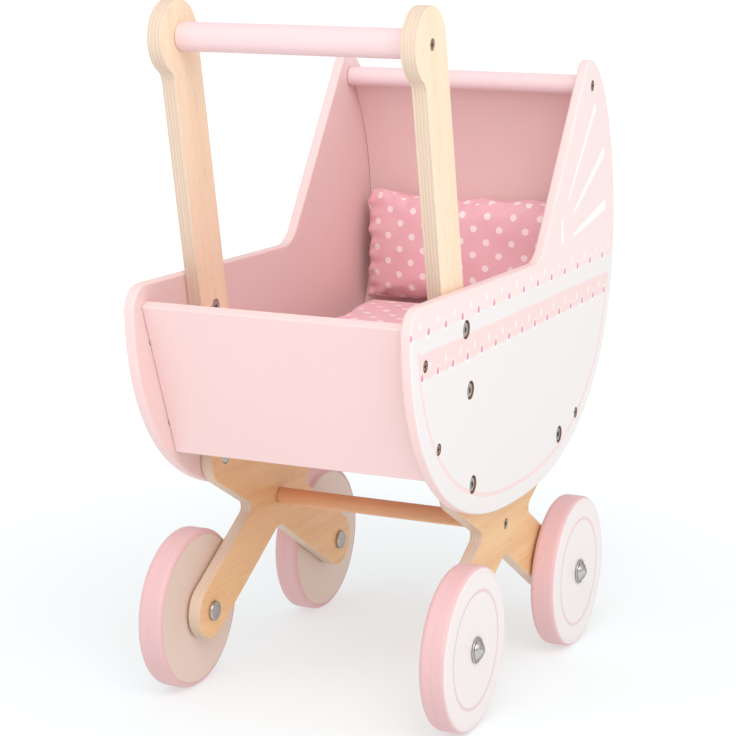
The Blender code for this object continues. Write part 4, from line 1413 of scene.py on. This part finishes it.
class STROLLER_OT_screws(bpy.types.Operator):
    """Builds the cross-head wood screws"""

    bl_idname = "stroller.screws"
    bl_label = "Wood screws"

    def execute(self, context):
        for names in (SCREWS, ("handle_screw",), ("cross_screw",)):
            low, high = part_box(names[0] + "_right")
            at = side_view(names[0] + "_right")
            head, thick, shaft = (high.z - low.z) * 0.5, 0.0022, 0.0016
            section = [
                (low.x, 0, 0), (low.x + 0.0004, 0.0004, 0), (low.x + 0.002, shaft, 0.0005),
                (high.x - thick, shaft, 0.0002), (high.x - thick, head - 0.0008, 0.0002),
                (high.x - 0.0005, head, 0.0003), (high.x, head - 0.0003, 0.0002), (high.x, 0, 0),
            ]
            screw = turned("screw", filleted(section, 4, SAME_POINT), *at, 40)
            cross_slot(screw, at, high.x - SLOT_DEPTH, high.x + MM, SLOT_REACH, SLOT_WIDTH)
            settle(screw)
            repeat(screw, at, names, "cross_head", "screw")
        return {"FINISHED"}


# Bedding.

FILL_PRESSURE, FILL_STEPS = 4.0, 20
BEDDING_GAP = 0.0006
SEAM_RADIUS = 0.0006
MATTRESS_CEILING, MATTRESS_STEP_UP = 0.2857, 0.0062
PILLOW_FLOOR = 0.2861


def soft_copy(node, name, shrink):
    """The CAD solid copied, merged, and drawn in by this much on each side, ready to be filled."""
    source = frame["nodes"][node]
    piece = source.copy()
    piece.data = source.data.copy()
    piece.name = piece.data.name = name
    piece.parent = None
    for key in list(piece.keys()):
        del piece[key]
    bpy.context.scene.collection.objects.link(piece)
    piece.matrix_world = Matrix.Identity(4)
    start_edit(piece)
    bpy.ops.mesh.select_all(action="SELECT")
    bpy.ops.mesh.remove_doubles(threshold=1e-5)
    bpy.ops.mesh.select_all(action="DESELECT")
    end_edit(piece)
    low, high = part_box(node)
    centre, half = (low + high) * 0.5, (high - low) * 0.5
    for vertex in piece.data.vertices:
        for k in range(3):
            vertex.co[k] = centre[k] + (vertex.co[k] - centre[k]) * (1 - shrink[k] / half[k])
    return piece


def fill_with_air(piece, cell, furthest):
    """Squares the cloth, blows it up with the cloth solver, and caps how far each point moved."""
    only(piece)
    even = piece.modifiers.new("even squares", "REMESH")
    even.mode = "VOXEL"
    even.voxel_size = cell
    bpy.ops.object.modifier_apply(modifier=even.name)
    rest = [vertex.co.copy() for vertex in piece.data.vertices]
    cloth = piece.modifiers.new("filling", "CLOTH")
    settings = cloth.settings
    settings.use_pressure = True
    settings.uniform_pressure_force = FILL_PRESSURE
    settings.effector_weights.gravity = 0
    settings.quality = 5
    settings.mass = 0.3
    settings.shrink_min = -0.03
    cloth.point_cache.frame_start = 1
    cloth.point_cache.frame_end = FILL_STEPS
    for step in range(1, FILL_STEPS + 1):
        bpy.context.scene.frame_set(step)
    only(piece)
    bpy.ops.object.modifier_apply(modifier=cloth.name)
    bpy.context.scene.frame_set(1)
    for vertex, start in zip(piece.data.vertices, rest):
        move = vertex.co - start
        if move.length > furthest:
            vertex.co = start + move * (furthest / move.length)


def soften(piece, rounds):
    """Evens out the points this many times, and subdivides the cloth once."""
    only(piece)
    smooth = piece.modifiers.new("smooth", "SMOOTH")
    smooth.iterations = rounds
    bpy.ops.object.modifier_apply(modifier=smooth.name)
    finer = piece.modifiers.new("finer", "SUBSURF")
    finer.levels = finer.render_levels = 1
    bpy.ops.object.modifier_apply(modifier=finer.name)


def rise(value, low, high):
    """A smooth rise from 0 at low to 1 at high."""
    t = max(0.0, min(1.0, (value - low) / (high - low)))
    return t * t * (3 - 2 * t)


HOOD_LINE = hood_curve(HOOD_INSET)


def hood_front_y(z):
    """Y of the hood back's front surface at this height."""
    for (y1, z1), (y2, z2) in zip(HOOD_LINE, HOOD_LINE[1:]):
        if z2 <= z <= z1:
            return y1 + (y2 - y1) * (z1 - z) / (z1 - z2) - 0.5 * HOOD_SHEET
    return HOOD_LINE[-1][0] - 0.5 * HOOD_SHEET


def seam_line(name, path, slot, body, node):
    """A thin folded seam along a closed path of points."""
    piece = ring_of(name, path, False)
    only(piece)
    bpy.ops.object.convert(target="CURVE")
    piece = bpy.context.object
    piece.data.bevel_depth = SEAM_RADIUS
    piece.data.bevel_resolution = 1
    bpy.ops.object.convert(target="MESH")
    piece = bpy.context.object
    piece.name = piece.data.name = name
    bpy.ops.object.shade_smooth()
    finish_piece(piece, thread_material(), slot, body, node)


def outline_of(piece, across, up, level, band, count=140):
    """The outermost points of the piece, turn by turn, near a level on the third axis."""
    third = 3 - across - up
    near = [v.co for v in piece.data.vertices if abs(v.co[third] - level) < band]
    centre = [sum(p[k] for p in near) / len(near) for k in range(3)]
    found = [None] * count
    for p in near:
        a, b = p[across] - centre[across], p[up] - centre[up]
        turn = int((math.atan2(b, a) / math.tau) % 1 * count) % count
        reach = a * a + b * b
        if found[turn] is None or reach > found[turn][0]:
            found[turn] = (reach, p.copy())
    points = [item[1] for item in found if item]
    for _ in range(2):
        after = points[1:] + points[:1]
        points = [(points[i - 1] + points[i] * 2 + after[i]) / 4 for i in range(len(points))]
    return points


class STROLLER_OT_mattress(bpy.types.Operator):
    """Builds the filled mattress and its side seam"""

    bl_idname = "stroller.mattress"
    bl_label = "Mattress"

    def execute(self, context):
        sizes = context.scene.stroller_sizes
        piece = soft_copy("mattress", "dotted_mattress", (0.004, 0.005, 0.004))
        fill_with_air(piece, sizes.cloth_cell, sizes.mattress_swell)
        soften(piece, 2)
        low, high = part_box("mattress")
        bed_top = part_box("bed_board")[1].z
        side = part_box("handle_post_right")[0].x - BEDDING_GAP
        bottom, _, inward, _ = foot_frame()
        for vertex in piece.data.vertices:
            p = vertex.co
            lump = noise.noise(Vector((p.x * 26, p.y * 26, p.z * 20 + 3.0)))
            p.z += 0.0011 * lump * rise(p.z, low.z + 0.03, high.z)
            p.z += 0.005 * rise(p.y, 0.0, 0.12) * rise(p.z, low.z + 0.03, high.z)
            p.x = max(-side, min(side, p.x))
            ceiling = MATTRESS_CEILING + MATTRESS_STEP_UP * rise(-p.y, -0.165, -0.130)
            p.z = max(bed_top + 0.0004, min(ceiling, p.z))
            away = (Vector((p.y, p.z)) - bottom).dot(inward) - BOARD
            if away < BEDDING_GAP:
                p.y += (BEDDING_GAP - away) / inward.x
            p.y = min(p.y, hood_front_y(p.z) - BEDDING_GAP)
        only(piece)
        bpy.ops.object.shade_smooth()
        surface = cloth_material("dotted cotton mattress", False)
        finish_piece(piece, surface, "mattress_fabric", "mattress_body", "mattress")
        path = outline_of(piece, 0, 1, (low.z + high.z) * 0.5, 0.0035)
        seam_line("mattress_seam", path, "mattress_fabric", "mattress_body", "mattress")
        return {"FINISHED"}


class STROLLER_OT_pillow(bpy.types.Operator):
    """Builds the filled pillow that leans on the hood back, and its seam"""

    bl_idname = "stroller.pillow"
    bl_label = "Pillow"

    def execute(self, context):
        sizes = context.scene.stroller_sizes
        low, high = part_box("pillow")
        centre, half = (low + high) * 0.5, (high - low) * 0.5
        piece = soft_copy("pillow", "dotted_pillow", (0.001, 0.002, -0.002))
        fill_with_air(piece, 0.72 * sizes.cloth_cell, sizes.pillow_swell)
        soften(piece, 1)
        for vertex in piece.data.vertices:
            p = vertex.co
            s, t = (p.x - centre.x) / half.x, (p.z - centre.z) / half.z
            edge = max(abs(s) ** 4, abs(t) ** 3)
            pucker = math.sin(p.z * 520 + 1.5 * math.sin(p.x * 90)) * rise(abs(s), 0.78, 0.98)
            pucker += math.sin(p.x * 400 + 2.0 * math.sin(p.x * 60)) * rise(abs(t), 0.70, 0.97)
            lump = noise.noise(Vector((p.x * 38, p.y * 20 + 7.0, p.z * 42)))
            p.y += (0.0012 * pucker + 0.0016 * lump * (1 - edge * 0.5)) * (1 if p.y < centre.y else 0.4)
            p.x += math.copysign(0.0012, s) * math.sin(p.z * 310) * rise(abs(s), 0.7, 1.0)
            p.z += (0.0030 + 0.0016 * math.sin(p.x * 130 + 0.6)) * rise(t, 0.3, 1.0)
            p.x = max(2 * BEDDING_GAP - INSIDE, min(INSIDE - 2 * BEDDING_GAP, p.x))
            p.z = max(PILLOW_FLOOR, p.z)
            p.y = min(p.y, hood_front_y(p.z) - BEDDING_GAP)
        only(piece)
        bpy.ops.object.shade_smooth()
        surface = cloth_material("dotted cotton pillow", True)
        finish_piece(piece, surface, "pillow_fabric", "pillow_body", "pillow")
        path = outline_of(piece, 0, 2, centre.y, 0.003)
        seam_line("pillow_seam", path, "pillow_fabric", "pillow_body", "pillow")
        return {"FINISHED"}


# Stage.


def area_light(name, place_at, look_at, size, power, colour):
    """A soft round light."""
    bpy.ops.object.light_add(type="AREA", location=place_at)
    light = bpy.context.object
    light.name = name
    light.rotation_euler = (Vector(look_at) - Vector(place_at)).to_track_quat("-Z", "Y").to_euler()
    light.data.shape = "DISK"
    light.data.size = size
    light.data.energy = power
    light.data.color = colour


LIGHTS = (
    ("front_light", (1.0, -1.9, 2.2), 2.4, 40, (1.0, 0.99, 0.985)),
    ("key_light", (-1.0, -2.0, 2.4), 2.2, 8, (1.0, 0.99, 0.985)),
    ("side_light", (2.1, -0.8, 2.1), 2.2, 8, (1.0, 0.995, 0.99)),
    ("top_light", (0.1, 1.3, 2.4), 2.4, 4, (1.0, 1.0, 1.0)),
)
LIGHTS_AIM = (0, 0, 0.25)
FLOOR_RADIUS, FLOOR_TOP = 40, -0.0004
ROOM_LIGHT, ROOM_SEEN = 0.70, 1.0
CAMERA_LENS, CAMERA_SENSOR, CAMERA_REACH = 109.03, 36, 100
CAMERA_AT = Vector((0.7423, -1.6917, 0.6195))
CAMERA_TURN, CAMERA_RISE, CAMERA_ROLL = (math.radians(a) for a in (24.212, 11.068, 0.683))


class STROLLER_OT_stage(bpy.types.Operator):
    """Sets the glowing pale floor, the soft lights and the camera"""

    bl_idname = "stroller.stage"
    bl_label = "Stage"

    def execute(self, context):
        turns = steps_between(0, math.tau, 96)[:-1]
        rim = [(FLOOR_RADIUS * math.cos(a), FLOOR_RADIUS * math.sin(a), FLOOR_TOP) for a in turns]
        floor = ring_of("pale_floor", rim, True)
        made, web, shader, at = new_material("glowing pale floor", (0.9, 0.9, 0.9))
        tone = web.noise(at, 3.0, 2.0)
        pale = web.mix(tone, (0.43, 0.47, 0.48), (0.45, 0.49, 0.50))
        web.put(shader.inputs["Base Color"], pale)
        web.put(shader.inputs["Roughness"], web.sum(0.8, web.times(tone, 0.1)))
        # The floor glows though it is no lamp: painted light that keeps it white far out, with less glow near
        # the stroller so the shadows there read darker.
        set_shader(shader, Specular_IOR_Level=0.1, Emission_Strength=1.0)
        x, y, _ = web.parts(at)
        glow = web.step(web.length(x, y), 0.2, 1.3, 0.49, 0.71)
        web.put(shader.inputs["Emission Color"], web.joined(glow, glow, glow))
        floor.data.materials.append(made)

        world = bpy.data.worlds.new("soft white room")
        world.use_nodes = True
        sky = world.node_tree.nodes["Background"]
        sky.inputs["Color"].default_value = (1.0, 1.0, 1.0, 1)
        web = Web(world.node_tree)
        seen = web.add("ShaderNodeLightPath").outputs["Is Camera Ray"]
        web.put(sky.inputs["Strength"], web.step(seen, 0.0, 1.0, ROOM_LIGHT, ROOM_SEEN))
        context.scene.world = world
        context.scene.view_settings.view_transform = "Standard"

        for name, place_at, size, power, colour in LIGHTS:
            area_light(name, place_at, LIGHTS_AIM, size, power, colour)

        a, e, r = CAMERA_TURN, CAMERA_RISE, CAMERA_ROLL
        back = Vector((math.sin(a) * math.cos(e), -math.cos(a) * math.cos(e), math.sin(e)))
        level = Vector((0, 0, 1)).cross(back).normalized()
        upright = back.cross(level)
        right = math.cos(r) * level + math.sin(r) * upright
        up = math.cos(r) * upright - math.sin(r) * level
        bpy.ops.object.camera_add(location=CAMERA_AT)
        camera = bpy.context.object
        camera.name = "viewpoint"
        camera.matrix_world = Matrix.Translation(CAMERA_AT) @ Matrix((right, up, back)).transposed().to_4x4()
        camera.data.lens = CAMERA_LENS
        camera.data.sensor_width = CAMERA_SENSOR
        camera.data.clip_end = CAMERA_REACH
        context.scene.camera = camera
        return {"FINISHED"}


STEPS = (
    STROLLER_OT_side_boards, STROLLER_OT_boards, STROLLER_OT_dowels, STROLLER_OT_posts, STROLLER_OT_legs,
    STROLLER_OT_wheels, STROLLER_OT_axles, STROLLER_OT_bolts, STROLLER_OT_screws, STROLLER_OT_mattress,
    STROLLER_OT_pillow, STROLLER_OT_stage,
)


class STROLLER_PT_pieces(bpy.types.Panel):
    """Lists the stroller's pieces in the sidebar"""

    bl_idname = "STROLLER_PT_pieces"
    bl_label = "Doll stroller"
    bl_space_type = "VIEW_3D"
    bl_region_type = "UI"
    bl_category = "Stroller"

    def draw(self, context):
        for step in STEPS:
            self.layout.operator(step.bl_idname)
        for group in (context.scene.stroller_sizes, context.scene.stroller_colours):
            box = self.layout.box()
            for name in group.bl_rna.properties.keys():
                if name not in ("rna_type", "name"):
                    box.prop(group, name)


CLASSES = (StrollerSizes, StrollerColours, *STEPS, STROLLER_PT_pieces)


def register():
    for made in CLASSES:
        bpy.utils.register_class(made)
    bpy.types.Scene.stroller_sizes = bpy.props.PointerProperty(type=StrollerSizes)
    bpy.types.Scene.stroller_colours = bpy.props.PointerProperty(type=StrollerColours)


def unregister():
    del bpy.types.Scene.stroller_sizes
    del bpy.types.Scene.stroller_colours
    for made in reversed(CLASSES):
        bpy.utils.unregister_class(made)


def main():
    register()
    for step in STEPS:
        group, name = step.bl_idname.split(".")
        getattr(getattr(bpy.ops, group), name)()


if __name__ == "__main__":
    main()
